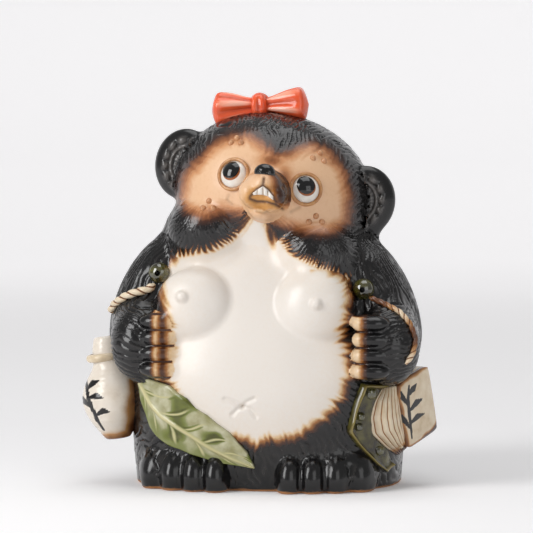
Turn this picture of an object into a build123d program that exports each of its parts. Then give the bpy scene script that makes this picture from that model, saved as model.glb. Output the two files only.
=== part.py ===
from build123d import *
import os
from copy import deepcopy
from math import copysign, cos, radians, sin, sqrt, tau

# A seated tanuki in glazed stoneware. The hollow torso and head are pressed as halves, and every limb,
# ornament and stud is luted on. It sits on z = 0 and faces -Y, so its own right hand is on the -X side.
# Sizes are millimetres.

# Clay
WALL = 5.0
NECK_OPENING = 34.0
VENT_DIAMETER = 14.0
VENT_BACK = 26.0

# Torso sections from the foot rim to the neck: height, half width, reach to the front and to the back
FOOT_HALF_WIDTH = 82.0
FOOT_FRONT = 66.0
FOOT_BACK = 58.0
HIP_HEIGHT = 30.0
HIP_HALF_WIDTH = 84.0
HIP_FRONT = 74.0
HIP_BACK = 62.0
BELLY_HEIGHT = 68.0
BELLY_HALF_WIDTH = 83.0
BELLY_FRONT = 80.0
BELLY_BACK = 65.0
CHEST_HEIGHT = 114.0
CHEST_HALF_WIDTH = 79.0
CHEST_FRONT = 68.0
CHEST_BACK = 61.0
SHOULDER_HEIGHT = 146.0
SHOULDER_HALF_WIDTH = 69.0
SHOULDER_FRONT = 56.0
SHOULDER_BACK = 53.0
NECK_HEIGHT = 172.0
NECK_HALF_WIDTH = 57.0
NECK_FRONT = 44.0
NECK_BACK = 45.0
SQUARENESS = 2.5
SECTION_POINTS = 12
SECTION_START = 1 / 6

# Breasts on the chest
BREAST_APART = 72.0
BREAST_WIDTH = 50.0
BREAST_HEIGHT = 48.0
BREAST_PROUD = 13.0
BREAST_DEPTH = 38.0
BREAST_DROP = 3.0

# Head, tilted towards the figure's left and set a little forward
HEAD_HALF_WIDTH = 62.0
HEAD_HALF_DEPTH = 56.0
HEAD_HALF_HEIGHT = 49.0
HEAD_TILT = 11.5
HEAD_ASIDE = 4.0
HEAD_FORWARD = 12.0
HEAD_RAISE = 8.0
FACE_ASIDE = 4.0

# Face
MUZZLE_WIDTH = 28.0
MUZZLE_HEIGHT = 30.0
MUZZLE_PROUD = 24.0
MUZZLE_RISE = -2.0
MUZZLE_PITCH = 20.0
NOSE_WIDTH = 13.0
NOSE_HEIGHT = 11.0
NOSE_PROUD = 5.5
NOSE_RISE = 10.0
NOSTRIL_DIAMETER = 2.8
NOSTRIL_APART = 5.6
JAW_WIDTH = 20.0
JAW_HEIGHT = 11.0
JAW_PROUD = 16.0
JAW_DROP = 12.5
TOOTH_COUNT = 4
TOOTH_PITCH = 3.1
TOOTH_HEIGHT = 6.0
TOOTH_GAP = 0.5
TOOTH_PROUD = 1.2
TOOTH_RISE = -6.5
EYE_APART = 44.6
EYE_RISE = 8.0
EYE_DIAMETER = 16.5
EYE_PROUD = 4.5
EYE_RIM_WIDTH = 2.2
PUPIL_DIAMETER = 11.0
PUPIL_PROUD = 0.6
PUPIL_ASIDE = -1.2
PUPIL_RISE = 2.0
BEAD_DIAMETER = 3.8
BEAD_RING = 2.8
BEADS_PER_CLUSTER = 3
BROW_BEADS_APART = 70.0
BROW_BEADS_RISE = 25.0
CHEEK_BEADS_APART = 60.0
CHEEK_BEADS_DROP = 5.5

# Cheek tufts hanging beside the chin
TUFT_APART = 66.0
TUFT_WIDTH = 52.0
TUFT_DEPTH = 50.0
TUFT_HEIGHT = 44.0
TUFT_DROP = 29.0
TUFT_FORWARD = 31.0
TUFT_DROOP = 16.0

# Ears
EAR_WIDTH = 39.0
EAR_HEIGHT = 44.0
EAR_THICKNESS = 18.0
EAR_RISE = 6.0
EAR_FORWARD = 8.0
EAR_TURN = 12.0
EAR_SINK = 5.0
EAR_RIM = 6.0
EAR_DISH = 7.0

# Bow on the crown
BOW_ASIDE = -19.0
BOW_TILT = 16.0
BOW_LOOP_LENGTH = 27.0
BOW_LOOP_HEIGHT = 21.0
BOW_LOOP_DEPTH = 18.0
# Swell of a loop along its length, from the knot to its end
BOW_LOOP_SWELL = [(0.0, 0.45), (0.35, 0.72), (0.75, 0.95), (0.93, 1.0), (1.0, 0.88)]
BOW_KNOT_WIDTH = 12.0
BOW_KNOT_HEIGHT = 17.0
BOW_KNOT_DEPTH = 17.0
BOW_SINK = 5.0

# Arms: an upper arm lump and a fist with fingers curled towards the belly
UPPER_ARM_WIDTH = 42.0
UPPER_ARM_DEPTH = 62.0
UPPER_ARM_LENGTH = 88.0
UPPER_ARM_FORWARD = 22.0
UPPER_ARM_INSET = 8.0
UPPER_ARM_LEAN = 24.0
FIST_WIDTH = 38.0
FIST_DEPTH = 44.0
FIST_HEIGHT = 48.0
FIST_FORWARD = 52.0
FIST_DROP = 26.0
FIST_INSET = 3.0
HANDS_ASIDE = 4.5
FINGER_COUNT = 4
FINGER_PITCH = 9.6
FINGER_LENGTH = 22.0
FINGER_DEPTH = 17.0
FINGER_THICKNESS = 11.6
FINGER_INSET = 11.0
FINGER_FORWARD = 18.0

# Feet
FOOT_APART = 86.0
FOOT_WIDTH = 62.0
FOOT_LENGTH = 46.0
FOOT_HEIGHT = 32.0
FOOT_CENTRE = 10.7
INSTEP_PROUD = 8.0
TOE_COUNT = 4
TOE_PITCH = 13.6
TOE_WIDTH = 15.0
TOE_LENGTH = 28.0
TOE_HEIGHT = 23.0
TOE_CENTRE = 7.7
TOE_PROUD = 15.0

# Tail lying up the back
TAIL_WIDTH = 44.0
TAIL_HEIGHT = 76.0
TAIL_PROUD = 16.0
TAIL_DEPTH = 40.0
TAIL_CENTRE = 19.0
TAIL_ASIDE = 8.0

# Leaf across the belly, from its stem under the right hand to its tip
LEAF_STEM_X = -68.0
LEAF_STEM_Z = 66.0
LEAF_TIP_X = 2.0
LEAF_TIP_Z = 19.0
LEAF_UPPER_SHOULDER = (-44.0, 61.0)
LEAF_LOWER_SHOULDER = (-59.0, 36.0)
LEAF_RIB_BEND = (-47.0, 44.0)
LEAF_PROUD = 3.0
LEAF_RIB_WIDTH = 3.6
LEAF_RIB_PROUD = 1.4

# Flask at the right hip
FLASK_DIAMETER = 38.5
FLASK_FOOT_DIAMETER = 16.0
FLASK_NECK_DIAMETER = 18.0
FLASK_LIP_DIAMETER = 15.0
FLASK_LIFT = 27.0
FLASK_BELLY_RISE = 26.0
FLASK_BODY_HEIGHT = 46.0
FLASK_NECK_HEIGHT = 10.0
FLASK_LIP_HEIGHT = 8.0
FLASK_FORWARD = 30.0
FLASK_STAND_OFF = 9.0
FLASK_LEAN = 7.5
COLLAR_THICKNESS = 5.0

# Account book and pouch at the left hip
LEDGER_WIDTH = 34.0
LEDGER_HEIGHT = 40.0
LEDGER_THICKNESS = 18.0
LEDGER_COVER = 3.0
LEDGER_COVER_LAP = 1.0
LEDGER_TURN = 64.0
LEDGER_LEAN = 16.0
LEDGER_MIDDLE = 49.0
LEDGER_FORWARD = 23.0
LEDGER_STAND_OFF = 3.5
PAGE_GROOVES = 5
PAGE_GROOVE = 1.0
POUCH_LEFT = 58.0
POUCH_RIGHT = 77.0
POUCH_TAPER = 6.0
POUCH_TOP = 61.0
POUCH_FOOT = 12.0
POUCH_PROUD = 5.0
STUD_COUNT = 3
STUD_PITCH = 14.0
STUD_INSET = 8.0
STUD_DIAMETER = 8.0
STUD_PROUD = 3.6

# Moulded cords over the arms, from a toggle on the chest to the hip. Places are across and up the front.
CORD_WIDTH = 5.0
CORD_PROUD = 2.6
RIGHT_TOGGLE = (-61.0, 131.0)
RIGHT_CORD_BEND = (-78.0, 122.0)
RIGHT_CORD_END = (-97.0, 107.0)
LEFT_TOGGLE = (65.0, 122.0)
LEFT_CORD_BEND = (82.0, 113.0)
LEFT_CORD_END = (96.0, 98.0)
TOGGLE_DIAMETER = 13.0
TOGGLE_PROUD = 6.5
TOGGLE_BORE = 3.4

RIGHT = -1
LEFT = 1
SIDE_NAMES = {RIGHT: "right", LEFT: "left"}
# The way that the poles of a lump point, so that one of them is buried in the piece that carries it
ACROSS = (0, 90, 15)
DEEP = (90, 0, 15)
UPRIGHT = (0, 0, 15)

TORSO_SECTIONS = [
    (0.0, FOOT_HALF_WIDTH, FOOT_FRONT, FOOT_BACK),
    (HIP_HEIGHT, HIP_HALF_WIDTH, HIP_FRONT, HIP_BACK),
    (BELLY_HEIGHT, BELLY_HALF_WIDTH, BELLY_FRONT, BELLY_BACK),
    (CHEST_HEIGHT, CHEST_HALF_WIDTH, CHEST_FRONT, CHEST_BACK),
    (SHOULDER_HEIGHT, SHOULDER_HALF_WIDTH, SHOULDER_FRONT, SHOULDER_BACK),
    (NECK_HEIGHT, NECK_HALF_WIDTH, NECK_FRONT, NECK_BACK),
]

HEAD_PLANE = Plane(
    origin=(HEAD_ASIDE, -HEAD_FORWARD, NECK_HEIGHT + HEAD_RAISE),
    x_dir=(cos(radians(HEAD_TILT)), 0, -sin(radians(HEAD_TILT))),
    z_dir=(sin(radians(HEAD_TILT)), 0, cos(radians(HEAD_TILT))),
)


def torso_girth(height):
    """Half width, front and back of the torso at a height, between the two nearest sections."""
    for low, high in zip(TORSO_SECTIONS, TORSO_SECTIONS[1:]):
        if height <= high[0]:
            share = (height - low[0]) / (high[0] - low[0])
            return [a + (b - a) * share for a, b in zip(low[1:], high[1:])]
    return TORSO_SECTIONS[-1][1:]


def torso_front(across, height):
    """Y of the torso's front skin at a place across and up it."""
    half_width, front, back = torso_girth(height)
    reach = (front + back) / 2
    fall = 1 - min(1, abs(across) / half_width) ** SQUARENESS
    return (back - front) / 2 - reach * fall ** (1 / SQUARENESS)


def on_torso(across, height, proud):
    """Plane standing proud of the torso's front skin, whose y axis points straight into the torso."""
    half_width, front, back = torso_girth(height)
    middle = (back - front) / 2
    depth = torso_front(across, height)
    slope_x = copysign(abs(across) ** (SQUARENESS - 1), across) / half_width**SQUARENESS
    slope_y = -abs(depth - middle) ** (SQUARENESS - 1) / ((front + back) / 2) ** SQUARENESS
    outward = Vector(slope_x, slope_y).normalized()
    return Plane(
        origin=Vector(across, depth, height) + outward * proud,
        x_dir=Vector(0, 0, 1).cross(outward),
        z_dir=(0, 0, 1),
    )


def head_front(across, rise):
    """Depth of the face in the head's own frame at a place across and up it."""
    return -HEAD_HALF_DEPTH * sqrt(1 - (across / HEAD_HALF_WIDTH) ** 2 - (rise / HEAD_HALF_HEIGHT) ** 2)


def on_head(across, depth, rise):
    """Plane at a place in the head's frame, with the head's tilt."""
    spot = HEAD_PLANE.from_local_coords((across, depth, rise))
    return Plane(origin=spot, x_dir=HEAD_PLANE.x_dir, z_dir=HEAD_PLANE.z_dir)


def on_face(across, rise):
    """Plane on the face's skin whose y axis points straight into the head."""
    depth = head_front(across, rise)
    outward = (
        HEAD_PLANE.x_dir * (across / HEAD_HALF_WIDTH**2)
        + HEAD_PLANE.y_dir * (depth / HEAD_HALF_DEPTH**2)
        + HEAD_PLANE.z_dir * (rise / HEAD_HALF_HEIGHT**2)
    )
    sideways = HEAD_PLANE.z_dir.cross(outward)
    return Plane(
        origin=HEAD_PLANE.from_local_coords((across, depth, rise)),
        x_dir=sideways,
        z_dir=outward.cross(sideways),
    )


def outward_from(plane):
    """Sketch plane that looks out of the skin along a plane's own -y."""
    return Plane(origin=plane.origin, x_dir=plane.x_dir, z_dir=-plane.y_dir)


def lump(plane, width, depth, height, poles):
    """A rounded lump of clay of a given full size."""
    with BuildPart() as ball:
        Sphere(height / 2, rotation=poles)
        scale(by=(width / height, depth / height, 1))
    return ball.part.moved(plane.location)


def dome(plane, diameter, proud):
    """A ball sunk into a skin along the plane's y axis, so that a dome of this size stands out."""
    radius = (diameter**2 / 4 + proud**2) / (2 * proud)
    with BuildPart() as ball:
        with Locations((0, radius - proud, 0)):
            Sphere(radius, rotation=DEEP)
    return ball.part.moved(plane.location)


def torso_form(grow):
    """The torso's skin as one closed form, grown or shrunk all round above its foot."""
    with BuildPart() as form:
        for height, half_width, front, back in TORSO_SECTIONS:
            level = height + grow if height == NECK_HEIGHT else height
            middle = (back - front) / 2
            reach = (front + back) / 2 + grow
            outline = []
            for step in range(SECTION_POINTS):
                turn = tau * (step / SECTION_POINTS + SECTION_START)
                bulge_x = copysign(abs(cos(turn)) ** (2 / SQUARENESS), cos(turn))
                bulge_y = copysign(abs(sin(turn)) ** (2 / SQUARENESS), sin(turn))
                outline.append(((half_width + grow) * bulge_x, middle + reach * bulge_y))
            with BuildSketch(Plane.XY.offset(level)):
                with BuildLine():
                    Spline(outline, periodic=True)
                make_face()
        loft()
    return form.part


def head_form(grow):
    """The head's skin as one closed form."""
    return lump(
        HEAD_PLANE,
        2 * (HEAD_HALF_WIDTH + grow),
        2 * (HEAD_HALF_DEPTH + grow),
        2 * (HEAD_HALF_HEIGHT + grow),
        UPRIGHT,
    )


def cut(form):
    """Cut the piece in hand by another form, so that it seats on it. The form stays as it was."""
    add(deepcopy(form), mode=Mode.SUBTRACT)


def finish(part, name):
    """Name a finished piece and write it."""
    part.label = name
    export_step(part, f"parts/{name}.step")


os.makedirs("parts", exist_ok=True)

# Torso: two pressed halves, joined on the plane y = 0, on a slab that closes the foot
torso_hollow = torso_form(-WALL)
breast_height = CHEST_HEIGHT - BREAST_DROP
breast_x = BREAST_APART / 2
breast_y = torso_front(breast_x, breast_height) - BREAST_PROUD + BREAST_DEPTH / 2
with BuildPart() as torso:
    add(torso_form(0))
    for side in (RIGHT, LEFT):
        breast_plane = Plane(origin=(side * breast_x, breast_y, breast_height))
        add(lump(breast_plane, BREAST_WIDTH, BREAST_DEPTH, BREAST_HEIGHT, DEEP))
torso_skin = torso.part

for keep, half_name in ((Keep.TOP, "body_front"), (Keep.BOTTOM, "body_back")):
    with BuildPart() as body_half:
        add(deepcopy(torso_skin))
        split(bisect_by=Plane.XZ, keep=keep)
        cut(torso_hollow)
        with Locations((0, 0, NECK_HEIGHT)):
            Cylinder(NECK_OPENING / 2, 4 * WALL, mode=Mode.SUBTRACT)
    finish(body_half.part, half_name)

with BuildPart() as base_slab:
    add(deepcopy(torso_hollow))
    split(bisect_by=Plane.XY.offset(WALL), keep=Keep.BOTTOM)
    with Locations((0, VENT_BACK, WALL / 2)):
        Hole(VENT_DIAMETER / 2)
finish(base_slab.part, "base_slab")

# Head: a hollow cap seated on the torso's dome, in a face half and a back half
head_skin = head_form(0)
head_hollow = head_form(-WALL)
for keep, half_name in ((Keep.TOP, "face_shell"), (Keep.BOTTOM, "head_back")):
    with BuildPart() as head_half:
        add(head_form(0))
        split(bisect_by=Plane.XZ, keep=keep)
        cut(head_hollow)
        cut(torso_skin)
    finish(head_half.part, half_name)

# Muzzle, jaw, nose and teeth
muzzle_depth = head_front(FACE_ASIDE, MUZZLE_RISE)
muzzle_plane = on_head(FACE_ASIDE, muzzle_depth, MUZZLE_RISE).rotated((-MUZZLE_PITCH, 0, 0))


def muzzle_form(grow):
    """The muzzle's skin as one closed form."""
    return lump(
        muzzle_plane,
        MUZZLE_WIDTH + 2 * grow,
        2 * (MUZZLE_PROUD + grow),
        MUZZLE_HEIGHT + 2 * grow,
        DEEP,
    )


muzzle_skin = muzzle_form(0)
with BuildPart() as muzzle:
    add(muzzle_form(0))
    cut(head_skin)
finish(muzzle.part, "muzzle")

jaw_rise = MUZZLE_RISE - JAW_DROP
with BuildPart() as lower_jaw:
    jaw_plane = on_head(FACE_ASIDE, head_front(FACE_ASIDE, jaw_rise), jaw_rise)
    add(lump(jaw_plane, JAW_WIDTH, 2 * JAW_PROUD, JAW_HEIGHT, DEEP))
    cut(head_skin)
    cut(muzzle_skin)
finish(lower_jaw.part, "lower_jaw")



def on_muzzle(across, depth, rise):
    """Plane at a place in the muzzle's own frame."""
    spot = muzzle_plane.from_local_coords((across, depth, rise))
    return Plane(origin=spot, x_dir=muzzle_plane.x_dir, z_dir=muzzle_plane.z_dir)


nose_depth = -MUZZLE_PROUD * sqrt(1 - (2 * NOSE_RISE / MUZZLE_HEIGHT) ** 2)
with BuildPart() as nose:
    add(lump(on_muzzle(0, nose_depth, NOSE_RISE), NOSE_WIDTH, 2 * NOSE_PROUD, NOSE_HEIGHT, DEEP))
    cut(muzzle_skin)
    cut(head_skin)
    for side in (RIGHT, LEFT):
        nostril_rise = NOSE_RISE - NOSTRIL_DIAMETER / 2
        nostril_plane = on_muzzle(side * NOSTRIL_APART / 2, nose_depth - NOSE_PROUD, nostril_rise)
        cut(dome(nostril_plane, NOSTRIL_DIAMETER, NOSTRIL_DIAMETER / 2))
finish(nose.part, "nose")

with BuildPart() as upper_teeth:
    with BuildSketch(outward_from(muzzle_plane)):
        with Locations((0, TOOTH_RISE)):
            with GridLocations(TOOTH_PITCH, 0, TOOTH_COUNT, 1):
                RectangleRounded(TOOTH_PITCH - TOOTH_GAP, TOOTH_HEIGHT, TOOTH_GAP)
    extrude(amount=2 * MUZZLE_PROUD)
    add(muzzle_form(TOOTH_PROUD), mode=Mode.INTERSECT)
    cut(muzzle_skin)
finish(upper_teeth.part, "upper_teeth")

# Eyes: a domed ball in a raised rim, with a raised pupil
for side, side_name in SIDE_NAMES.items():
    eye_plane = on_face(FACE_ASIDE + side * EYE_APART / 2, EYE_RISE)
    eye_skin = dome(eye_plane, EYE_DIAMETER, EYE_PROUD)

    with BuildPart() as eyeball:
        add(deepcopy(eye_skin))
        cut(head_skin)
        cut(muzzle_skin)
    finish(eyeball.part, f"{side_name}_eyeball")

    with BuildPart() as pupil:
        with BuildSketch(outward_from(eye_plane)):
            with Locations((PUPIL_ASIDE, PUPIL_RISE)):
                Circle(PUPIL_DIAMETER / 2)
        extrude(amount=EYE_DIAMETER)
        add(dome(eye_plane, EYE_DIAMETER, EYE_PROUD + PUPIL_PROUD), mode=Mode.INTERSECT)
        cut(eye_skin)
    finish(pupil.part, f"{side_name}_pupil")

    with BuildPart(outward_from(eye_plane)) as rim_ring:
        Torus((EYE_DIAMETER + EYE_RIM_WIDTH) / 2, EYE_RIM_WIDTH / 2)

    with BuildPart() as eye_rim:
        add(rim_ring.part)
        cut(eye_skin)
        cut(head_skin)
        cut(muzzle_skin)
    finish(eye_rim.part, f"{side_name}_eye_rim")

# Cheek tufts beside the chin
tuft_skins = {}
for side, side_name in SIDE_NAMES.items():
    tuft_seat = on_head(FACE_ASIDE + side * TUFT_APART / 2, -TUFT_FORWARD, -TUFT_DROP)
    tuft_plane = tuft_seat.rotated((0, side * TUFT_DROOP, 0))
    tuft_skins[side] = lump(tuft_plane, TUFT_WIDTH, TUFT_DEPTH, TUFT_HEIGHT, DEEP)
    with BuildPart() as cheek_tuft:
        add(deepcopy(tuft_skins[side]))
        cut(head_skin)
        cut(torso_skin)
        cut(muzzle_skin)
        cut(lower_jaw.part)
    finish(cheek_tuft.part, f"{side_name}_cheek_tuft")


def bead_cluster(across, rise):
    """A ring of beads on the face."""
    beads = []
    for step in range(BEADS_PER_CLUSTER):
        turn = tau * (step / BEADS_PER_CLUSTER + 0.25)
        plane = on_face(across + BEAD_RING * cos(turn), rise + BEAD_RING * sin(turn))
        beads.append(dome(plane, BEAD_DIAMETER, BEAD_DIAMETER / 2))
    return beads


# Beads in clusters of three on the brow and the cheeks
with BuildPart() as brow_beads:
    for side in (RIGHT, LEFT):
        add(bead_cluster(FACE_ASIDE + side * BROW_BEADS_APART / 2, BROW_BEADS_RISE))
    cut(head_skin)
finish(brow_beads.part, "brow_beads")

with BuildPart() as cheek_beads:
    for side in (RIGHT, LEFT):
        add(bead_cluster(FACE_ASIDE + side * CHEEK_BEADS_APART / 2, -CHEEK_BEADS_DROP))
    cut(head_skin)
finish(cheek_beads.part, "cheek_beads")

# Ears: dished, with a thick rim
ears = {}
for side, side_name in SIDE_NAMES.items():
    ear_seat = on_head(side * (HEAD_HALF_WIDTH - EAR_SINK), -EAR_FORWARD, EAR_RISE)
    ear_plane = ear_seat.rotated((0, 0, side * EAR_TURN))
    dish_plane = Plane(
        origin=ear_plane.from_local_coords((0, -EAR_THICKNESS / 2, 0)),
        x_dir=ear_plane.x_dir,
        z_dir=ear_plane.z_dir,
    )
    dish = lump(dish_plane, EAR_WIDTH - 2 * EAR_RIM, 2 * EAR_DISH, EAR_HEIGHT - 2 * EAR_RIM, DEEP)
    with BuildPart() as ear:
        add(lump(ear_plane, EAR_WIDTH, EAR_THICKNESS, EAR_HEIGHT, ACROSS))
        cut(dish)
        cut(head_skin)
        cut(torso_skin)
        cut(tuft_skins[side])
    ears[side] = ear.part
    finish(ear.part, f"{side_name}_ear")

# Bow: a knot between two loops, seated on the crown
bow_crown = HEAD_HALF_HEIGHT * sqrt(1 - (BOW_ASIDE / HEAD_HALF_WIDTH) ** 2)
bow_lean = radians(HEAD_TILT - BOW_TILT)
bow_plane = Plane(
    origin=HEAD_PLANE.from_local_coords((BOW_ASIDE, 0, bow_crown + BOW_KNOT_HEIGHT / 2 - BOW_SINK)),
    x_dir=(cos(bow_lean), 0, -sin(bow_lean)),
    z_dir=(sin(bow_lean), 0, cos(bow_lean)),
)
knot_skin = lump(bow_plane, BOW_KNOT_WIDTH, BOW_KNOT_DEPTH, BOW_KNOT_HEIGHT, UPRIGHT)

with BuildPart() as bow_knot:
    add(deepcopy(knot_skin))
    cut(head_skin)
finish(bow_knot.part, "bow_knot")

for side, side_name in SIDE_NAMES.items():
    with BuildPart() as bow_loop:
        for along, swell in BOW_LOOP_SWELL:
            reach = side * (BOW_KNOT_WIDTH / 4 + along * BOW_LOOP_LENGTH)
            station = Plane(
                origin=bow_plane.from_local_coords((reach, 0, 0)),
                x_dir=(0, 1, 0),
                z_dir=bow_plane.x_dir,
            )
            with BuildSketch(station):
                Ellipse(swell * BOW_LOOP_DEPTH / 2, swell * BOW_LOOP_HEIGHT / 2)
        loft()
        cut(knot_skin)
        cut(head_skin)
    finish(bow_loop.part, f"bow_{side_name}_loop")

# Arms: an upper arm and a fist with its fingers curled towards the belly
fist_height = CHEST_HEIGHT - FIST_DROP


def upper_arm_form(side, grow):
    """One upper arm's skin as one closed form."""
    shoulder_x = side * (CHEST_HALF_WIDTH - UPPER_ARM_INSET)
    upright = Plane(origin=(shoulder_x, -UPPER_ARM_FORWARD, CHEST_HEIGHT))
    return lump(
        upright.rotated((0, -side * UPPER_ARM_LEAN, 0)),
        UPPER_ARM_WIDTH + 2 * grow,
        UPPER_ARM_DEPTH + 2 * grow,
        UPPER_ARM_LENGTH + 2 * grow,
        ACROSS,
    )


arms = {}
for side, side_name in SIDE_NAMES.items():
    fist_x = side * (CHEST_HALF_WIDTH - FIST_INSET) + HANDS_ASIDE
    fist_plane = Plane(origin=(fist_x, -FIST_FORWARD, fist_height))
    with BuildPart() as arm:
        add(upper_arm_form(side, 0))
        add(lump(fist_plane, FIST_WIDTH, FIST_DEPTH, FIST_HEIGHT, DEEP))
        for finger in range(FINGER_COUNT):
            knuckle = Plane(
                origin=(
                    side * (CHEST_HALF_WIDTH - FINGER_INSET) + HANDS_ASIDE,
                    -FIST_FORWARD - FINGER_FORWARD,
                    fist_height + (finger - (FINGER_COUNT - 1) / 2) * FINGER_PITCH,
                )
            )
            add(lump(knuckle, FINGER_LENGTH, FINGER_DEPTH, FINGER_THICKNESS, DEEP))
        cut(torso_skin)
        cut(tuft_skins[side])
        cut(ears[side])
    arms[side] = arm.part
    finish(arm.part, f"{side_name}_arm")

# Feet
feet = {}
for side, side_name in SIDE_NAMES.items():
    foot_x = side * FOOT_APART / 2
    instep_y = torso_front(FOOT_APART / 2, 0) - INSTEP_PROUD + FOOT_LENGTH / 2
    with BuildPart() as foot:
        instep_plane = Plane(origin=(foot_x, instep_y, FOOT_CENTRE))
        add(lump(instep_plane, FOOT_WIDTH, FOOT_LENGTH, 2 * (FOOT_HEIGHT - FOOT_CENTRE), DEEP))
        for toe in range(TOE_COUNT):
            toe_x = foot_x + (toe - (TOE_COUNT - 1) / 2) * TOE_PITCH
            toe_y = torso_front(toe_x, 0) - TOE_PROUD + TOE_LENGTH / 2
            toe_plane = Plane(origin=(toe_x, toe_y, TOE_CENTRE))
            add(lump(toe_plane, TOE_WIDTH, TOE_LENGTH, 2 * (TOE_HEIGHT - TOE_CENTRE), DEEP))
        split(bisect_by=Plane.XY, keep=Keep.TOP)
        cut(torso_skin)
    feet[side] = foot.part
    finish(foot.part, f"{side_name}_foot")

# Tail lying up the back
with BuildPart() as tail:
    tail_plane = Plane(origin=(TAIL_ASIDE, HIP_BACK + TAIL_PROUD - TAIL_DEPTH / 2, TAIL_CENTRE))
    add(lump(tail_plane, TAIL_WIDTH, TAIL_DEPTH, 2 * (TAIL_HEIGHT - TAIL_CENTRE), DEEP))
    split(bisect_by=Plane.XY, keep=Keep.TOP)
    cut(torso_skin)
finish(tail.part, "tail")


def on_belly(outline, proud):
    """Clay of a given outline pressed onto the torso's front skin, standing proud of it."""
    with BuildPart() as relief:
        extrude(outline, amount=2 * BELLY_FRONT)
        add(torso_form(proud), mode=Mode.INTERSECT)
        cut(torso_skin)
    return relief.part


# Leaf laid over the belly, with a raised rib
leaf_stem = (LEAF_STEM_X, LEAF_STEM_Z)
leaf_tip = (LEAF_TIP_X, LEAF_TIP_Z)

with BuildSketch(Plane.XZ) as leaf_outline:
    with BuildLine():
        Spline(leaf_stem, LEAF_UPPER_SHOULDER, leaf_tip)
        Spline(leaf_tip, LEAF_LOWER_SHOULDER, leaf_stem)
    make_face()

with BuildSketch(Plane.XZ) as leaf_rib_outline:
    with BuildLine():
        Spline(leaf_stem, LEAF_RIB_BEND, leaf_tip)
    trace(line_width=LEAF_RIB_WIDTH)

with BuildPart() as leaf:
    add(on_belly(leaf_outline.sketch, LEAF_PROUD))
    add(on_belly(leaf_rib_outline.sketch, LEAF_PROUD + LEAF_RIB_PROUD))
    cut(arms[RIGHT])
    for side in (RIGHT, LEFT):
        cut(feet[side])
finish(leaf.part, "leaf")

# Flask at the right hip, with a rope collar round its straight neck
flask_foot = (-(torso_girth(FLASK_LIFT)[0] + FLASK_STAND_OFF), -FLASK_FORWARD, FLASK_LIFT)
flask_lean = radians(FLASK_LEAN)
flask_plane = Plane(origin=flask_foot, x_dir=(cos(flask_lean), 0, sin(flask_lean)), z_dir=(0, -1, 0))
flask_axis = Axis(flask_foot, (-sin(flask_lean), 0, cos(flask_lean)))
neck_top = FLASK_BODY_HEIGHT + FLASK_NECK_HEIGHT
lip_top = neck_top + FLASK_LIP_HEIGHT
with BuildPart() as flask:
    with BuildSketch(flask_plane):
        with BuildLine():
            foot_line = Line((0, 0), (FLASK_FOOT_DIAMETER / 2, 0))
            shoulder = Spline(
                foot_line @ 1,
                (FLASK_DIAMETER / 2, FLASK_BELLY_RISE),
                (FLASK_NECK_DIAMETER / 2, FLASK_BODY_HEIGHT),
                tangents=((1, 1), (0, 1)),
            )
            neck_line = Line(shoulder @ 1, (FLASK_NECK_DIAMETER / 2, neck_top))
            lip_line = Line(neck_line @ 1, (FLASK_LIP_DIAMETER / 2, lip_top))
            Polyline(lip_line @ 1, (0, lip_top), foot_line @ 0)
        make_face()
    revolve(axis=flask_axis)
    cut(torso_skin)
    cut(arms[RIGHT])
finish(flask.part, "flask")

with BuildPart() as flask_collar:
    with BuildSketch(flask_plane):
        with Locations((FLASK_NECK_DIAMETER / 2, FLASK_BODY_HEIGHT + FLASK_NECK_HEIGHT / 2)):
            Circle(min(COLLAR_THICKNESS, FLASK_NECK_HEIGHT) / 2)
        with Locations((FLASK_NECK_DIAMETER / 4, FLASK_BODY_HEIGHT + FLASK_NECK_HEIGHT / 2)):
            Rectangle(FLASK_NECK_DIAMETER / 2, 2 * COLLAR_THICKNESS, mode=Mode.SUBTRACT)
    revolve(axis=flask_axis)
    cut(torso_skin)
    cut(arms[RIGHT])
finish(flask_collar.part, "flask_collar")

# Account book at the left hip: a grooved block of pages behind a cover
ledger_plane = (
    Plane(origin=(torso_girth(LEDGER_MIDDLE)[0] + LEDGER_STAND_OFF, -LEDGER_FORWARD, LEDGER_MIDDLE))
    .rotated((0, 0, LEDGER_TURN))
    .rotated((0, -LEDGER_LEAN, 0))
)
page_depth = LEDGER_THICKNESS - LEDGER_COVER
with BuildPart(ledger_plane) as page_block:
    with Locations((0, LEDGER_COVER / 2, 0)):
        Box(LEDGER_WIDTH, page_depth, LEDGER_HEIGHT)
        with Locations((-LEDGER_WIDTH / 2, 0, 0)):
            with GridLocations(0, page_depth / PAGE_GROOVES, 1, PAGE_GROOVES):
                Box(2 * PAGE_GROOVE, PAGE_GROOVE, LEDGER_HEIGHT, mode=Mode.SUBTRACT)

with BuildPart() as ledger_pages:
    add(page_block.part)
    cut(torso_skin)
    cut(arms[LEFT])
finish(ledger_pages.part, "ledger_pages")

with BuildPart(ledger_plane) as cover_board:
    with Locations((0, -page_depth / 2, 0)):
        Box(LEDGER_WIDTH + 2 * LEDGER_COVER_LAP, LEDGER_COVER, LEDGER_HEIGHT + 2 * LEDGER_COVER_LAP)
    thickness_edges = cover_board.edges().filter_by(Axis(ledger_plane.origin, ledger_plane.y_dir))
    fillet(thickness_edges, LEDGER_COVER)

with BuildPart() as ledger_cover:
    add(cover_board.part)
    cut(torso_skin)
    cut(arms[LEFT])
finish(ledger_cover.part, "ledger_cover")

# Pouch flap beside the book, with round studs
with BuildSketch(Plane.XZ) as pouch_outline:
    with BuildLine():
        top_edge = Line((POUCH_LEFT + POUCH_TAPER, POUCH_TOP), (POUCH_RIGHT, POUCH_TOP))
        side_edge = Line(top_edge @ 1, (POUCH_RIGHT, POUCH_FOOT))
        ThreePointArc(side_edge @ 1, (POUCH_LEFT, (POUCH_TOP + POUCH_FOOT) / 2), top_edge @ 0)
    make_face()

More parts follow.
